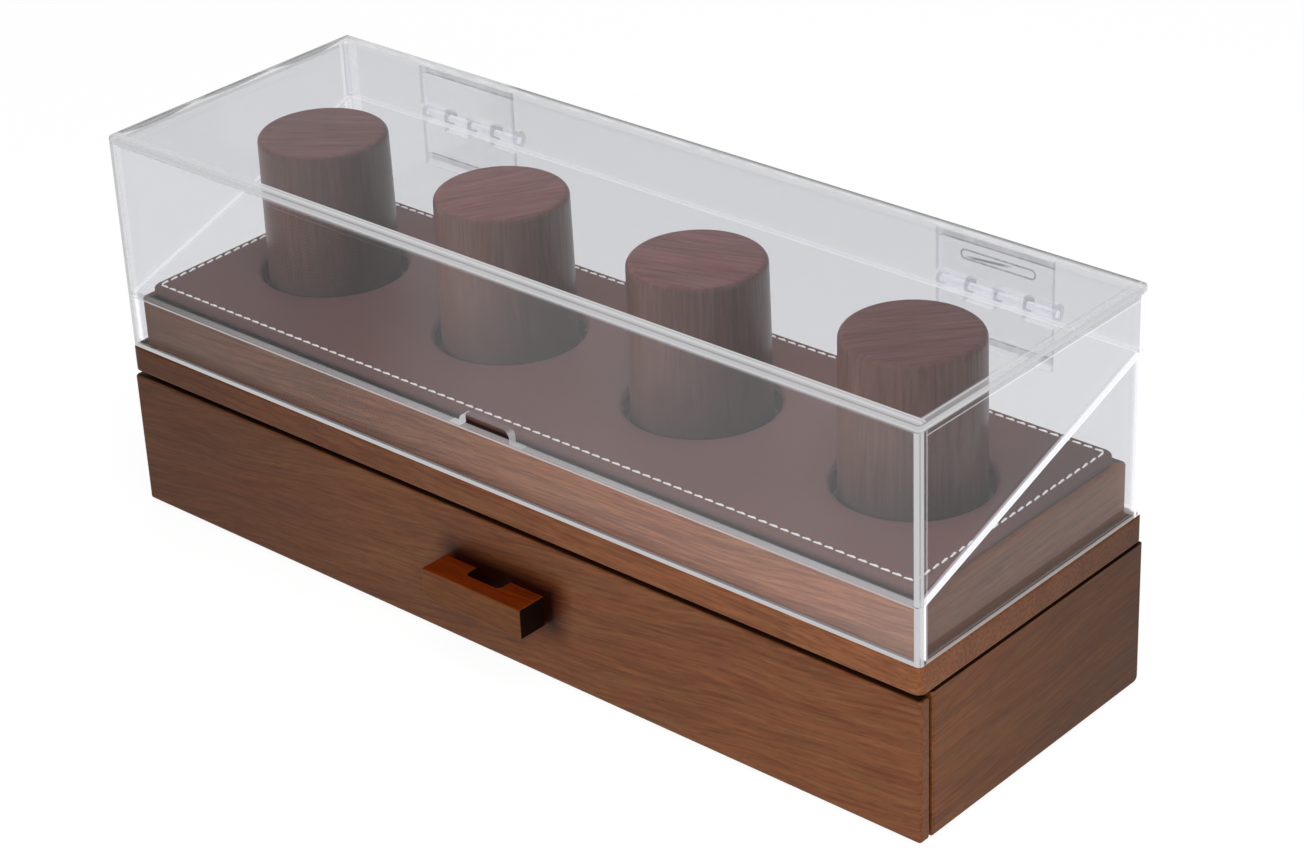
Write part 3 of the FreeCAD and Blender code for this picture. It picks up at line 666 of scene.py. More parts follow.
def pad_level(look, stitch, inset, rim):
    """The leather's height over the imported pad's top, from the distance to the outline and to a hole."""
    edge_swell, hole_swell, hole_round, seam = 8.0 * MM, 5.0 * MM, 1.8 * MM, 0.36 * MM
    level = look.crown * (1 - math.exp(-inset / edge_swell)) * (1 - math.exp(-rim / hole_swell))
    level -= rounded(look.edge, inset) + rounded(hole_round, rim)
    return level - look.groove * math.exp(-((inset - stitch.inset) / seam) ** 2)


def build_pad(look, stitch, material):
    """A closed skin: crowned, rolled over the outer edge and into the four holes."""
    corner = 4.0 * MM
    x0, y0 = PAD_LOW.x + corner, PAD_LOW.y + corner
    x1, y1 = PAD_HIGH.x - corner, PAD_HIGH.y - corner
    top, bottom = PAD_HIGH.z, PAD_LOW.z + 0.04 * MM
    per_pillar, deep, round_corner = 28, 32, 8
    centres = [Vector((p.x, p.y, 0)) for p in PILLARS]
    walls = [x0] + [(a.x + b.x) / 2 for a, b in zip(centres, centres[1:])] + [x1]
    weld = Weld()

    def place(x, y, inset=None):
        if inset is None:
            inset = min(x - PAD_LOW.x, PAD_HIGH.x - x, y - PAD_LOW.y, PAD_HIGH.y - y)
        inset = max(0.0, inset)
        rim = max(0.0, min((Vector((x, y, 0)) - c).length for c in centres) - POCKET_RADIUS)
        ease = min(1.0, inset / (4.0 * MM)) * min(1.0, rim / (4.0 * MM))
        level = pad_level(look, stitch, inset, rim)
        return weld.point((x, y, top + level + unevenness(x, y, 3.1, 38, 0.10 * MM) * ease))

    def side(low, high, count):
        return [low + (high - low) * i / count for i in range(count)]

    def weld_rows(rows):
        for first, second in zip(rows, rows[1:]):
            weld.strip(second, first, closed=True)

    rims = [r * MM for r in (0.0, 0.05, 0.18, 0.4, 0.7, 1.1, 1.9, 3.2, 5.2)]
    shares = (0.2, 0.42, 0.66, 0.85, 1.0)
    for centre, left, right in zip(centres, walls, walls[1:]):
        border = [(x, y0) for x in side(left, right, per_pillar)] + [(right, y) for y in side(y0, y1, deep)]
        border += [(x, y1) for x in side(right, left, per_pillar)] + [(left, y) for y in side(y1, y0, deep)]
        border = [Vector((x, y, 0)) for x, y in border]
        outward = [(b - centre).normalized() for b in border]
        hole = [centre + o * POCKET_RADIUS for o in outward]
        rows = [[weld.point((p.x, p.y, top - depth)) for p in hole]
                for depth in (top - bottom, 2.4 * MM, 1.7 * MM)]
        for rim in rims:
            start = [centre + o * (POCKET_RADIUS + rim) for o in outward]
            rows.append([place(p.x, p.y) for p in start])
        for share in shares:
            rows.append([place(*(s.lerp(b, share))[:2]) for s, b in zip(start, border)])
        weld_rows(rows)

    edge = []
    for (ax, ay), (bx, by), facing in (((x0, y0), (x1, y0), -90), ((x1, y0), (x1, y1), 0),
                                       ((x1, y1), (x0, y1), 90), ((x0, y1), (x0, y0), 180)):
        out = Vector((math.cos(math.radians(facing)), math.sin(math.radians(facing)), 0))
        if abs(out.y) > 0.5:
            xs = [x for l, r in zip(walls, walls[1:]) for x in side(l, r, per_pillar)] + [x1]
            run = [Vector((x, ay, 0)) for x in (xs if bx > ax else reversed(xs))]
        else:
            run = [Vector((ax, ay + (by - ay) * i / deep, 0)) for i in range(deep + 1)]
        edge += [(p, out) for p in run]
        for k in range(1, round_corner):
            turn = math.radians(facing + 90 * k / round_corner)
            edge.append((run[-1], Vector((math.cos(turn), math.sin(turn), 0))))
    insets = [i * MM for i in (4.0, 3.7, 3.45, 3.25, 3.1, 2.95, 2.8, 2.65, 2.5, 2.3, 2.0, 1.6, 1.2, 0.85,
                               0.55, 0.28, 0.12, 0.03, 0.0)]
    rows = [[place(*(p + o * (corner - inset))[:2], inset) for p, o in edge] for inset in insets]
    for tuck, depth in ((0.0, 2.6 * MM), (0.05 * MM, 3.4 * MM), (0.35 * MM, top - bottom)):
        rows.append([weld.point((*(p + o * (corner - tuck))[:2], top - depth)) for p, o in edge])
    weld_rows(rows)

    pad = new_piece("pad_leather_sewn", weld.points, weld.faces, material, "case")
    skin = pad.modifiers.new("Skin", "SOLIDIFY")
    skin.thickness = look.skin
    skin.offset = -1.0
    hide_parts("pad_leather")
    return pad


def thread_ring(look, line, share, ring):
    """One ring of a stitch, from -1 at its first hole to 1 at its second: out over the leather, flat and
    twisted, and thin where it goes down."""
    over = Vector((-line.y, line.x, 0))
    rise = (1 - share ** 4) * 0.50 * MM - 0.25 * MM
    taper = math.sqrt(max(0.05, 1 - abs(share) ** 7))
    twist, flatness = share * 2.6, 0.72
    middle = line * share * look.length / 2 + Z * rise
    for k in range(ring):
        angle = 2 * math.pi * k / ring
        a = math.cos(angle) * look.width / 2 * taper
        b = math.sin(angle) * look.width / 2 * flatness * taper
        wide = a * math.cos(twist) - b * math.sin(twist)
        high = a * math.sin(twist) + b * math.cos(twist)
        yield middle + over * wide + Z * high


def build_stitches(look, pad, material):
    """Each stitch is a short two-ply thread that rises out of one hole and goes down into the next."""
    inset = look.inset
    x0, y0, x1, y1 = PAD_LOW.x + inset, PAD_LOW.y + inset, PAD_HIGH.x - inset, PAD_HIGH.y - inset
    corners = [Vector((x0, y0, 0)), Vector((x1, y0, 0)), Vector((x1, y1, 0)), Vector((x0, y1, 0))]
    level = PAD_HIGH.z + pad_level(pad, look, inset, 1.0)
    draw = random.Random(4)
    points, faces = [], []
    rings, around = 9, 8
    for start, end in zip(corners, corners[1:] + corners[:1]):
        run = end - start
        count = round(run.length / look.pitch)
        for i in range(count):
            middle = start + run * ((i + 0.5) / count) + Z * level
            turn = look.slant + draw.uniform(-0.03, 0.03)
            line = Quaternion(Z, turn) @ run.normalized()
            first = len(points)
            for r in range(rings):
                share = r / (rings - 1) * 2 - 1
                points += [middle + point for point in thread_ring(look, line, share, around)]
            for r in range(first, first + (rings - 1) * around, around):
                for k in range(around):
                    a, b = r + k, r + (k + 1) % around
                    faces.append((a, b, b + around, a + around))
            faces.append(tuple(first + k for k in reversed(range(around))))
            faces.append(tuple(first + (rings - 1) * around + k for k in range(around)))
    return new_piece("pad_stitches", points, faces, material, "case")


def build_felt_disc(number, material):
    """A round of felt on a pocket's floor, a little uneven, with a soft cut edge."""
    low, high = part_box(f"pocket_felt_{number}")
    middle, radius, thick = (low + high) / 2, (high.x - low.x) / 2, (high.z - low.z) * 0.97
    around = 72
    rim = [(0.0, 0.0), (1.0, 0.0), (1.0, 0.6), (0.994, 0.85), (0.98, 0.98), (0.95, 1.0)]
    weld = Weld()
    rows = []
    for reach, rise in rim + [(reach, 1.0) for reach in (0.8, 0.6, 0.4, 0.2, 0.0)]:
        row = []
        for k in range(around):
            angle = 2 * math.pi * k / around
            x = middle.x + math.cos(angle) * radius * reach
            y = middle.y + math.sin(angle) * radius * reach
            lift = unevenness(x, y, number, 160, 0.08 * MM) if rise > 0.9 else 0.0
            row.append(weld.point((x, y, low.z + thick * rise + lift * min(1.0, (1 - reach) * 12))))
        rows.append(row)
    for first, second in zip(rows, rows[1:]):
        weld.strip(first, second, closed=True)
    disc = new_piece(f"pocket_felt_round_{number}", weld.points, weld.faces, material, "case")
    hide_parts(f"pocket_felt_{number}")
    return disc


def build_drawer_felt(material):
    """The drawer's felt, cut a little short of the walls."""
    low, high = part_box("drawer_lining")
    size = high - low
    columns, lines = 96, 32
    soft, below = 0.6 * MM, 0.12 * MM
    weld = Weld()

    def top(i, j):
        x, y = low.x + size.x * (i / columns), low.y + size.y * (j / lines)
        inset = max(0.0, min(x - low.x, high.x - x, y - low.y, high.y - y))
        lift = unevenness(x, y, 8.0, 45, 0.12 * MM) * min(1.0, inset / (4.0 * MM))
        return weld.point((x, y, high.z - below - rounded(soft, inset) * 0.8 + lift))

    grid = [[top(i, j) for i in range(columns + 1)] for j in range(lines + 1)]
    for first, second in zip(grid, grid[1:]):
        weld.strip(first, second)
    border = grid[0][:-1] + [row[-1] for row in grid[:-1]]
    border += grid[-1][:0:-1] + [row[0] for row in grid[:0:-1]]
    under = [weld.point((weld.points[p].x, weld.points[p].y, low.z)) for p in border]
    weld.strip(under, border, closed=True)
    weld.face(*reversed(under))
    lining = new_piece("drawer_felt", weld.points, weld.faces, material, "drawer")
    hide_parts("drawer_lining")
    return lining


# Operators

class CaseStep(Operator):
    """Shared by the steps that finish the case"""

    bl_options = {"REGISTER", "UNDO"}

    @property
    def look(self):
        return bpy.context.scene.watch_case


class WATCHCASE_OT_carcass(CaseStep):
    """Stain the carcass and its deck, and finish the plain wood inside it"""

    bl_idname = "watchcase.carcass"
    bl_label = "Carcass and Deck"

    def execute(self, context):
        look = self.look.wood
        # Painted falloff and shade: the sides darken to the back and on their top faces under the deck; the
        # deck darkens to the left.
        dress(walnut("walnut_sides", look, grain_lines(Y, Z, 4), seed=3.0, tone=0.88, warmth=0.4,
                     painted_top_shade=gap_shade_colour(look), painted_falloff=lambda x, y, z: y.ramp(*FRONT_TO_BACK) * 0.42),
              "side_left", "side_right")
        dress(walnut("walnut_back", look, grain_lines(X, Z, -3), seed=12.0), "back_panel")
        dress(walnut("walnut_deck", look, grain_lines(X, Y, 2), seed=21.0, tone=1.22, warmth=-0.1,
                     painted_falloff=self.deck_falloff), "deck")
        dress(plain_wood("bottom_wood", look, grain_lines(X, Y), seed=5.0), "bottom_board")
        dress(plain_wood("runner_wood", look, grain_lines(Y, X), seed=9.0), "kicker_left", "kicker_right",
              "drawer_stop_left", "drawer_stop_right", "carcass_dowels")
        return {"FINISHED"}

    @staticmethod
    def deck_falloff(x, y, z):
        """Painted falloff of light: the deck is darker to the left, and on its right end to the back."""
        right_end = x.ramp(168.0, 174.0)
        return (y.ramp(*FRONT_TO_BACK) * right_end * 0.46).peak(x.ramp(60.0, LEFT_END) * 0.5)


class WATCHCASE_OT_drawer(CaseStep):
    """Stain the drawer front and finish the drawer box"""

    bl_idname = "watchcase.drawer"
    bl_label = "Drawer"

    def execute(self, context):
        look = self.look.wood
        # Painted shadow, falloff and shade: the front darkens round the pull, to the left, and on its top
        # face in the gap.
        dress(walnut("walnut_drawer_front", look, grain_lines(X, Z, 7), painted_shadow=self.painted_shadow_by_the_pull,
                     painted_falloff=lambda x, y, z: x.ramp(0.0, LEFT_END) * 0.34, painted_top_shade=gap_shade_colour(look)),
              "drawer_front")
        dress(plain_wood("drawer_end_wood", look, grain_lines(X, Z), seed=14.0),
              "drawer_inner_front", "drawer_back")
        dress(plain_wood("drawer_side_wood", look, grain_lines(Y, Z), seed=18.0),
              "drawer_side_left", "drawer_side_right")
        dress(plain_wood("drawer_base_wood", look, grain_lines(X, Y), seed=25.0), "drawer_base")
        return {"FINISHED"}

    @staticmethod
    def painted_shadow_by_the_pull(finish):
        """Painted shadow and reflection of the pull: 1 where the pull meets the front, fading a finger's
        width above it and past its right end.
        """
        low, high = box_in_mm("drawer_pull")
        middle, half = (low + high) / 2, (high - low) / 2
        to_the_right, upwards, reach = 4.5, 2.5, 11.0
        x, _, z = finish.parts(finish.place())
        beside = (abs(x - (middle.x + to_the_right)) - (half.x - 1.0)).peak(0.0)
        above = (abs(z - (middle.z + upwards)) - half.z).peak(0.0)
        return ((beside ** 2.0 + above ** 2.0) ** 0.5).ramp(reach, 0.0) ** 1.3


class WATCHCASE_OT_pull(CaseStep):
    """Stain the drawer's notched pull"""

    bl_idname = "watchcase.pull"
    bl_label = "Drawer Pull"

    def execute(self, context):
        # Painted shade: the crown tint makes the pull's top darker and redder; its end faces go nearly
        # black.
        dress(walnut("walnut_pull", self.look.wood, grain_lines(X, Y, 3), seed=31.0, tone=0.75, warmth=1.0,
                     end_grain=0, crown=(0.92, 0.39, 0.17)), "drawer_pull")
        return {"FINISHED"}


class WATCHCASE_OT_plinth(CaseStep):
    """Stain the mitred plinth rails and finish the boards between them"""

    bl_idname = "watchcase.plinth"
    bl_label = "Plinth"

    def execute(self, context):
        look = self.look.wood
        # Painted light and shade: the long rails are painted 2.5 times lighter for light gathered under the
        # clear strip, darker to the left, and dark grey-green on top as the pad's shade and reflection.
        dress(walnut("walnut_long_rails", look, grain_lines(X, Z, 3), seed=40.0, tone=2.5, grain=1.5,
                     painted_top_shade=(0.022, 0.024, 0.022), painted_falloff=lambda x, y, z: x.ramp(90.0, -165.0) * 0.6),
              "plinth_rail_front", "plinth_rail_rear")
        dress(walnut("walnut_short_rails", look, grain_lines(Y, Z, 2), seed=44.0, tone=1.2),
              "plinth_rail_left", "plinth_rail_right")
        dress(fibreboard("core_board"), "plinth_core", "pad_board")
        return {"FINISHED"}


class WATCHCASE_OT_pad(CaseStep):
    """Lay the leather over the pad board and sew its edge"""

    bl_idname = "watchcase.pad"
    bl_label = "Leather Pad"

    def execute(self, context):
        look = self.look
        build_pad(look.pad, look.stitch, leather("brown_leather", look.pad))
        build_stitches(look.stitch, look.pad, thread("sewing_thread", look.stitch.colour))
        return {"FINISHED"}


class WATCHCASE_OT_pillars(CaseStep):
    """Stain the four turned pillars"""

    bl_idname = "watchcase.pillars"
    bl_label = "Pillars"

    # For each pillar: the turn of the grain on its top in degrees, its tone, painted lighter from left to
    # right as painted light, and its top's own tone of painted light and shade.
    pillars = ((35, 0.60, 1.3), (62, 0.90, 1.15), (18, 0.94, 1.05), (50, 1.12, 0.72))

    def execute(self, context):
        for number, (turn, tone, painted_top_light) in enumerate(self.pillars, 1):
            # Painted light and shade: the crown tint lightens the top, and the foot darkens towards the pad
            # as its shade and reflection.
            finish = walnut(f"walnut_pillar_{number}", self.look.wood, grain_lines(Z, X, 1),
                            seed=50.0 + 6 * number, top=grain_lines(X, Y, turn), tone=tone, warmth=-1.7,
                            painted_foot_shade=(80.0, 116.0), crown=tuple(painted_top_light * c for c in (1.6, 1.45, 1.8)),
                            coat=3.0, open_pores=0.2)
            dress(finish, f"pillar_{number}")
        return {"FINISHED"}


class WATCHCASE_OT_linings(CaseStep):
    """Lay the felt in the pockets and in the drawer"""

    bl_idname = "watchcase.linings"
    bl_label = "Felt Linings"

    def execute(self, context):
        material = felt("dark_felt", self.look.felt.colour)
        for number in (1, 2, 3, 4):
            build_felt_disc(number, material)
        build_drawer_felt(material)
        return {"FINISHED"}


class WATCHCASE_OT_clear_box(CaseStep):
    """Polish the clear sheets and paint pale light and dark reflections on their cut edges and seams"""

    bl_idname = "watchcase.clear_box"
    bl_label = "Clear Box"

    # A sheet's outer face, how brightly its long edges shine from left to right, and the painted glow of
    # its bands.
    front = ("front", ((-170.0, 0.10), (-60.0, 0.4), (170.0, 0.6)), 1.0)
    rear = ("back", ((-170.0, 0.55), (170.0, 0.55)), 2.4)

    def execute(self, context):
        bottom, top = 0, 1
        for name, (outer, edges, painted_glow), lines, split in (
                ("cover_front", self.front, self.cover_lines, top),
                ("cover_rear", self.rear, self.cover_lines, top),
                ("lid_front", self.front, self.lid_front_lines, bottom),
                ("lid_rear", self.rear, self.lid_lines, bottom)):
            sheet = self.upright(name, outer)
            lines(sheet, sheet.z - box_in_mm(name)[split].z, sheet.x.profile(*edges) * sheet.cut)
            dress(sheet.made(painted_glow=painted_glow), name)
        for side in ("left", "right"):
            for part, lines in (("cover", self.cover_end_lines), ("lid", self.lid_end_lines)):
                name = f"{part}_{side}"
                sheet = self.end(name, side)
                lines(sheet)
                dress(sheet.made(painted_glow=2.6), name)
        dress(self.roof(), "lid_top")
        return {"FINISHED"}

    def upright(self, name, outer):
        """A front or back sheet: painted pale light where its glued ends show through its face, and on
        their cut edges.
        """
        sheet = ClearSheet(f"clear_{name}", self.look.clear, 1, outer)
        sheet.light(sheet.skin, sheet.right.profile((2.0, 0.95), (2.5, 0.0)),
                    sheet.left.profile((4.2, 0.62), (5.0, 0.0)) * sheet.mottle(2.5, 0.6, 1.0))
        sheet.light(sheet.cut * sheet.end.ramp(1.0, 0.4),
                    sheet.depth.profile((0.0, 0.95), (1.2, 0.9), (1.6, 0.75), (1.9, 0.9), (2.2, 0.0)))
        return sheet

    @staticmethod
    def cover_lines(sheet, rise, edge):
        """The fixed part: painted pale light at its foot on the deck and its upper edge, and a painted veil
        that grows to the right.

        rise is the height over the edge where it meets the lid, and edge how brightly that edge shines."""
        painted_veil = sheet.x.profile((-130.0, 0.0), (0.0, 0.03), (100.0, 0.09), (170.0, 0.16))
        sheet.light(sheet.skin, painted_veil, sheet.deck.profile((1.4, 0.85), (1.7, 0.0)),
                    rise.profile((-0.7, 0.0), (-0.45, 0.75), (0.2, 0.75)))
        sheet.light(sheet.cut, sheet.deck.ramp(0.3, 0.1) * 0.45)
        sheet.light(edge * sheet.end.ramp(1.0, 3.0), rise.ramp(-0.5, -0.1))

    @staticmethod
    def lid_lines(sheet, rise, edge):
        """The lid: painted pale light at its lower edge and at the seam under its top sheet."""
        seam = (3.0, 0.6), (3.2, 0.2), (4.2, 0.02), (5.1, 0.0), (5.25, 0.16), (5.5, 0.0)
        sheet.light(edge * sheet.end.ramp(1.0, 3.0), rise.ramp(0.5, 0.2) * 0.6)
        sheet.light(sheet.skin, sheet.top.profile(*seam))

    def lid_front_lines(self, sheet, rise, edge):
        """As the lid, with a painted veil over the pillars' feet, and a finger notch painted bright at its
        left end.
        """
        self.lid_lines(sheet, rise, edge)
        notch = abs(sheet.x).ramp(17.0, 16.0) * rise.ramp(7.4, 7.0) * sheet.cut
        notch_ends = (-10.4, 1.0), (-9.2, 0.9), (-8.4, 0.12), (9.8, 0.12), (10.6, 0.6)
        sheet.light(sheet.skin, sheet.x.ramp(-55.0, 0.0) * 0.10)
        sheet.light(notch, sheet.x.profile(*notch_ends))

    def end(self, name, side):
        """An end sheet with painted pale light at the seams of its upright edges."""
        sheet = ClearSheet(f"clear_{name}", self.look.clear, 0, side)
        sheet.light(sheet.skin, sheet.front.profile((2.9, 0.0), (3.2, 0.2), (3.6, 0.2), (3.9, 0.0)),
                    sheet.back.profile((3.0, 0.75), (4.2, 0.6), (4.8, 0.0)))
        return sheet

    @staticmethod
    def cover_end_lines(sheet):
        """Painted pale light and dark reflections at the slanting cut and the line of the foot."""
        pale = (0.0, 0.26), (1.2, 0.22), (1.5, 0.0), (2.0, 0.0), (2.2, 0.14), (2.5, 0.0)
        dark = (1.4, 0.0), (1.6, 0.18), (1.8, 0.18), (2.0, 0.0), (2.5, 0.0), (2.8, 0.14), (3.1, 0.0)
        sheet.light(sheet.cut * sheet.deck.ramp(1.0, 1.5),
                    sheet.end.profile((1.9, 1.0), (2.3, 0.35), (2.9, 0.25)))
        sheet.light(sheet.skin, sheet.deck.profile(*pale))
        sheet.darken(sheet.skin, sheet.deck.profile(*dark))

    @staticmethod
    def lid_end_lines(sheet):
        """Painted pale light and dark reflection at the seam under the top sheet."""
        sheet.light(sheet.skin, sheet.top.profile((4.4, 0.0), (4.6, 0.5), (4.9, 0.0)))
        sheet.darken(sheet.skin, sheet.top.profile((3.0, 0.22), (4.2, 0.15), (4.5, 0.0)))

    def roof(self):
        """The lid's top sheet, with painted pale light where the walls' upper edges show through it,
        painted dark reflections, and streaks of glue.
        """
        sheet = ClearSheet("clear_lid_top", self.look.clear, 2, "top")
        back, left, right, top = sheet.back, sheet.left, sheet.right, sheet.top
        front_wall = ((0.0, 0.92), (0.8, 0.75), (1.2, 0.95), (1.8, 0.95), (2.4, 0.85), (2.8, 0.6),
                      (3.2, 0.9), (3.6, 0.9), (4.0, 0.0))
        sheet.light(sheet.skin, sheet.front.profile(*front_wall),
                    right.profile((0.0, 0.8), (0.7, 0.4), (1.3, 0.45), (1.8, 0.85), (2.3, 0.5), (2.7, 0.0)),
                    left.profile((0.8, 0.7), (1.1, 0.1), (3.4, 0.1), (3.8, 0.5), (4.2, 0.0)),
                    back.profile((0.9, 0.0), (1.2, 0.3), (1.6, 0.05), (3.0, 0.05), (3.3, 0.3), (3.6, 0.0)))
        near = back.ramp(1.0, 3.0) * left.ramp(1.0, 3.0)
        near_edge = (1.8, 0.88), (2.1, 1.0), (2.4, 1.0), (2.7, 0.5), (3.0, 0.4)
        sheet.light(sheet.cut * near, top.profile(*near_edge))
        sheet.light(sheet.cut * (1 - near), sheet.mottle(0.9, 0.05, 0.5) * top.ramp(0.7, 0.9))

        crest = top.ramp(2.0, 1.0) * sheet.x.profile((-97.0, 0.1), (-90.0, 1.0))
        sheet.darken(crest, back.profile((0.7, 0.8), (1.0, 0.0)))
        sheet.darken(sheet.cut * left.ramp(3.0, 1.0), self.streaks(sheet, top, 0.0) * 0.65)
        sheet.darken(sheet.skin, self.streaks(sheet, left, 0.5) * 0.4)
        sheet.darken(sheet.skin * sheet.mottle(1.2, 0.0, 1.0),
                     left.profile((0.9, 0.0), (1.3, 0.75), (2.6, 0.7), (3.2, 0.0)),
                     right.profile((2.4, 0.0), (2.8, 0.18), (3.3, 0.15), (3.6, 0.0)),
                     back.profile((1.2, 0.0), (1.8, 0.16), (2.8, 0.12), (3.2, 0.0)))
        return sheet.made()

    @staticmethod
    def streaks(sheet, across, turned):
        """Long lens-shaped streaks by the roof's left edge, which lean one way and the other in turn.

        across is the distance that they lie along, and turned moves them on by a share of their length."""
        first, length, lean, middle, half_width = -52.0, 37.0, 0.35, 1.6, 1.35
        wave = ((sheet.y - first) * (math.pi / length) + turned * math.pi).math("SINE")
        away = abs(across - (wave * lean + middle)) - abs(wave) * half_width
        return away.ramp(0.15, -0.3)


class WATCHCASE_OT_hinges(CaseStep):
    """Polish the two clear hinges and their pins"""

    bl_idname = "watchcase.hinges"
    bl_label = "Clear Hinges"

    # The painted glow of the hinges' pale bands, and how much clearer their plastic is than the sheets.
    painted_glow = 2.4
    clearer = 1.06

    def execute(self, context):
        for end, leaf, bubbled in (("left", "upper_leaf", False), ("left", "lower_leaf", False),
                                   ("right", "upper_leaf", True), ("right", "lower_leaf", False)):
            name = f"hinge_{end}_{leaf}"
            dress(self.leaf(name, leaf == "upper_leaf", bubbled), name)
        pin = ClearSheet("clear_pin", self.look.clear, 0, "right")
        # Painted light: the pins glow with uneven pale light.
        pin.light(pin.mottle(6.0, 0.35, 0.75), 1.0)
        dress(pin.made(self.clearer, self.painted_glow), "hinge_left_pin", "hinge_right_pin")
        return {"FINISHED"}

    def leaf(self, name, upper, bubbled):
        """A leaf: painted pale rims, a grey band of glue by its far edge, and painted pale knuckle ends
        with painted dark reflections.
        """
        sheet = ClearSheet(f"clear_{name}", self.look.clear, 1, "leaf")
        low, high = box_in_mm(name)
        beside, other = sheet.x - low.x, high.x - sheet.x
        far = high.z - sheet.z if upper else sheet.z - low.z
        outside = (0 - sheet.back).ramp(0.4, 0.8)
        sheet.light(sheet.skin, far.profile((0.2, 0.55), (0.9, 0.45), (1.2, 0.0)),
                    beside.profile((0.2, 0.5), (0.9, 0.35), (1.2, 0.0)),
                    other.profile((0.2, 0.5), (0.9, 0.35), (1.2, 0.0)),
                    far.profile((3.9, 0.0), (4.2, 0.5), (4.6, 0.5), (4.9, 0.0)))
        sheet.light(sheet.cut * outside, (1 - sheet.endways) * 0.55)
        sheet.darken(sheet.skin * sheet.mottle(3.0, 0.5, 1.0),
                     far.profile((0.9, 0.0), (1.2, 0.35), (3.0, 0.3), (3.3, 0.6), (3.6, 0.6), (3.9, 0.0)))
        sheet.darken(sheet.endways * outside, 0.2)
        if bubbled:
            sheet.darken(sheet.skin, self.bubble(sheet, (low.x + high.x) / 2, high.z - 8.0))
        return sheet.made(self.clearer, self.painted_glow)

    @staticmethod
    def bubble(sheet, x, z):
        """The outline of a long bubble in the glue, with a dark line that slants through it."""
        half_length, slope = 13.0, 0.07
        past_end = (abs(sheet.x - x) - half_length).peak(0.0)
        away = (past_end ** 2.0 + (sheet.z - z) ** 2.0) ** 0.5
        rim = away.profile((1.1, 0.0), (1.5, 0.75), (1.7, 0.75), (2.1, 0.0))
        slant = abs(sheet.z - z - (sheet.x - x) * slope).profile((0.15, 0.7), (0.7, 0.0))
        return (rim * sheet.mottle(4.0, 0.4, 1.0)).peak(slant * abs(sheet.x - x + 4.0).ramp(10.0, 5.0))


class WATCHCASE_OT_fixings(CaseStep):
    """Finish the screws and the feet"""

    bl_idname = "watchcase.fixings"
    bl_label = "Screws and Feet"

    def execute(self, context):
        dress(zinc("zinc_screws"), "plinth_screws", "pull_screws")
        dress(rubber("rubber_feet"), "foot_front_left", "foot_front_right", "foot_rear_left",
              "foot_rear_right")
        return {"FINISHED"}


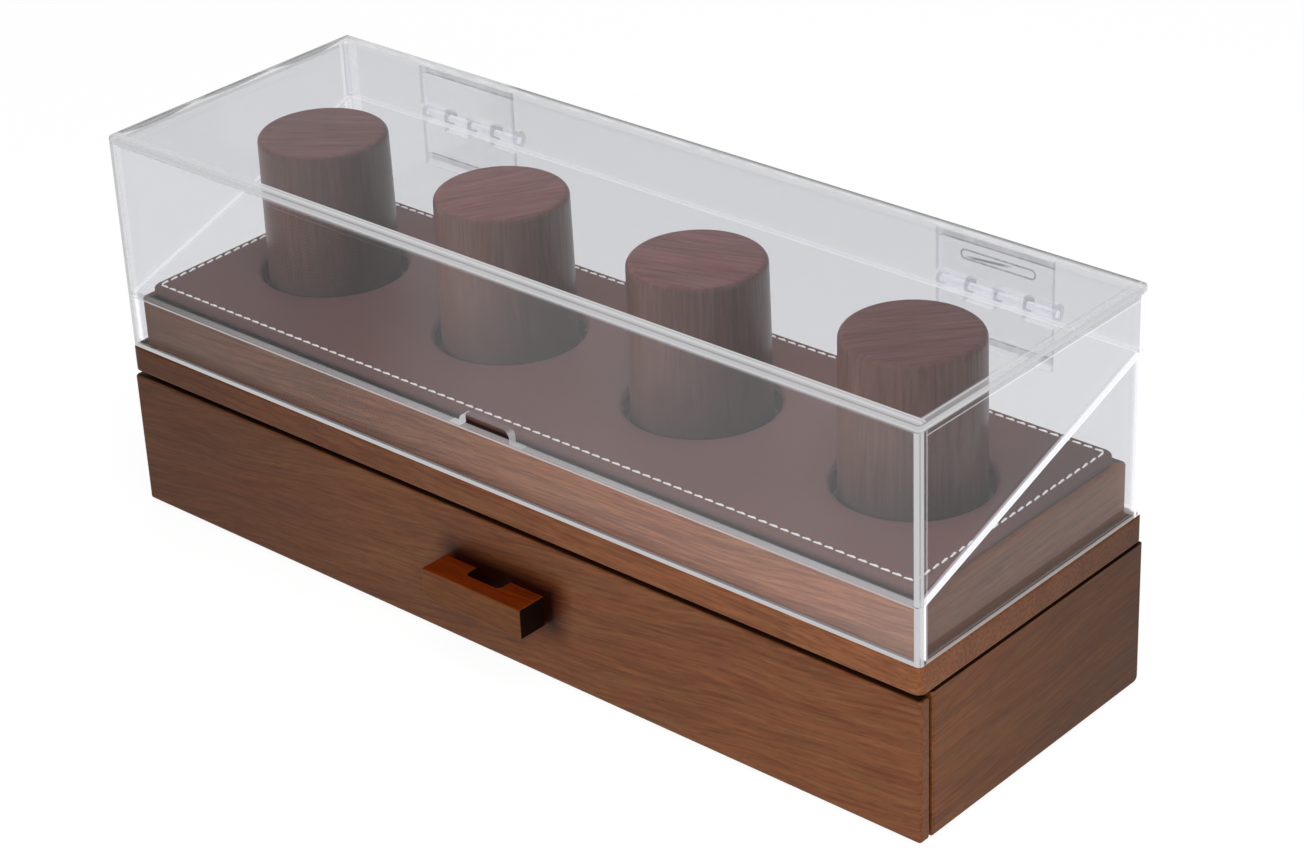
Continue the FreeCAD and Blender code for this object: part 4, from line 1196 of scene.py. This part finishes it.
class WATCHCASE_OT_stage(CaseStep):
    """Set up the floor, the light, the background and the camera"""

    bl_idname = "watchcase.stage"
    bl_label = "Stage"

    # The point that the camera is aimed at, and the height that the lamps are aimed at, in metres.
    aim = Vector((0.020474, 0.0023, 0.067681))
    lamp_aim = Vector((0, 0, 0.07))

    def execute(self, context):
        look = self.look.stage
        scene = context.scene
        pillars = [name for name in NODES if name.startswith("pillar_")]
        clear = [name for name in NODES if name.startswith(("cover_", "lid_", "hinge_"))]
        self.lay_floor(look)
        self.make_sky(look, scene)
        self.hang("key_light", (0.37, -0.44, 0.35), 0.32, look.key, "EXCLUDE", clear + pillars,
                  mirrored=True)
        self.hang("side_light", (-0.26, -0.52, 0.36), 0.35, look.side, "INCLUDE", pillars)
        self.hang("top_light", (0.26, -0.05, 1.05), 0.9, look.top)
        self.hang("rear_light", (-0.8, 0.7, 0.7), 0.8, look.rear)
        self.place_camera(look, scene)
        scene.view_settings.view_transform = "Standard"
        scene.cycles.transparent_max_bounces = 32
        return {"FINISHED"}

    def hang(self, name, spot, size, power, state=None, flagged=(), mirrored=False):
        """A square lamp in metres and watts, kept off the flagged pieces or kept on them alone."""
        lamp = bpy.data.lights.new(name, "AREA")
        lamp.shape, lamp.size, lamp.energy = "SQUARE", size, power
        light = bpy.data.objects.new(name, lamp)
        bpy.context.scene.collection.objects.link(light)
        light.visible_camera = False
        light.visible_glossy = mirrored
        light.location = spot
        light.rotation_euler = (self.lamp_aim - Vector(spot)).to_track_quat("-Z", "Y").to_euler()
        if flagged:
            group = bpy.data.collections.new(name)
            for piece in flagged:
                group.objects.link(NODES[piece])
            for entry in group.collection_objects:
                entry.light_linking.link_state = state
            light.light_linking.receiver_collection = group

    def place_camera(self, look, scene):
        camera = bpy.data.objects.new("camera", bpy.data.cameras.new("camera"))
        scene.collection.objects.link(camera)
        scene.camera = camera
        camera.data.sensor_width = 36.0
        camera.data.lens = look.lens
        level = math.cos(look.elevation)
        view = Vector((-math.sin(look.azimuth) * level, math.cos(look.azimuth) * level,
                       -math.sin(look.elevation)))
        camera.location = self.aim - view * look.distance
        camera.rotation_mode = "QUATERNION"
        camera.rotation_quaternion = view.to_track_quat("-Z", "Y") @ Quaternion(Z, look.roll)

    @staticmethod
    def rays(finish, *kinds):
        """1 for light that goes to the camera or comes by the kinds of ray that are named."""
        total = finish.node("LightPath", out="Is Camera Ray")
        for kind in kinds:
            total = total + finish.node("LightPath", out=f"Is {kind} Ray")
        return total.ramp(0.0, 1.0)

    def lay_floor(self, look):
        """A matt floor that shows as the pale background too, and still takes the case's shadow."""
        bpy.ops.mesh.primitive_plane_add(size=8, location=(0, 0, 0))
        floor = bpy.context.object
        floor.name = "floor"
        finish = Finish("pale_floor")
        matt = finish.node("BsdfDiffuse", {}, {"Color": rgba(look.floor)})
        glow = finish.node("Emission", {}, {"Strength": 1.06})
        share = self.rays(finish, "Transmission", "Glossy") * 0.88
        floor.data.materials.append(finish.surface(finish.blend(share, matt, glow)))

    def make_sky(self, look, scene):
        """White to the camera and through the clear sheets, dimmer in reflections and as light."""
        world = bpy.data.worlds.new("studio")
        scene.world = world
        finish = Finish(owner=world)
        mirrored = finish.node("LightPath", out="Is Glossy Ray")
        level = mirrored * (look.mirrored - look.sky) + look.sky
        level = level.peak(self.rays(finish, "Transmission"))
        sky = finish.node("Background", {}, {"Color": (1, 1, 1, 1), "Strength": level})
        finish.node("OutputWorld", {}, {"Surface": sky})


STEPS = (WATCHCASE_OT_carcass, WATCHCASE_OT_drawer, WATCHCASE_OT_pull, WATCHCASE_OT_plinth,
         WATCHCASE_OT_pad, WATCHCASE_OT_pillars, WATCHCASE_OT_linings, WATCHCASE_OT_clear_box,
         WATCHCASE_OT_hinges, WATCHCASE_OT_fixings, WATCHCASE_OT_stage)


class WATCHCASE_PT_panel(Panel):
    """The case's steps and what they are made with"""

    bl_idname = "WATCHCASE_PT_panel"
    bl_label = "Watch Display Case"
    bl_space_type = "VIEW_3D"
    bl_region_type = "UI"
    bl_category = "Display Case"

    def draw(self, context):
        look = context.scene.watch_case
        for title, group in (("Wood", look.wood), ("Leather", look.pad), ("Stitches", look.stitch),
                             ("Felt", look.felt), ("Clear Box", look.clear), ("Stage", look.stage)):
            box = self.layout.box()
            box.label(text=title)
            for name in group.__annotations__:
                box.prop(group, name)
        column = self.layout.column(align=True)
        for step in STEPS:
            column.operator(step.bl_idname)


GROUPS = (WoodLook, PadLook, StitchLook, FeltLook, ClearLook, StageLook, CaseLook)
CLASSES = GROUPS + STEPS + (WATCHCASE_PT_panel,)


def register():
    for made in CLASSES:
        bpy.utils.register_class(made)
    bpy.types.Scene.watch_case = PointerProperty(type=CaseLook)


def unregister():
    del bpy.types.Scene.watch_case
    for made in reversed(CLASSES):
        bpy.utils.unregister_class(made)


def main():
    register()
    steps = bpy.ops.watchcase
    steps.carcass()
    steps.drawer()
    steps.pull()
    steps.plinth()
    steps.pad()
    steps.pillars()
    steps.linings()
    steps.clear_box()
    steps.hinges()
    steps.fixings()
    steps.stage()


if __name__ == "__main__":
    main()
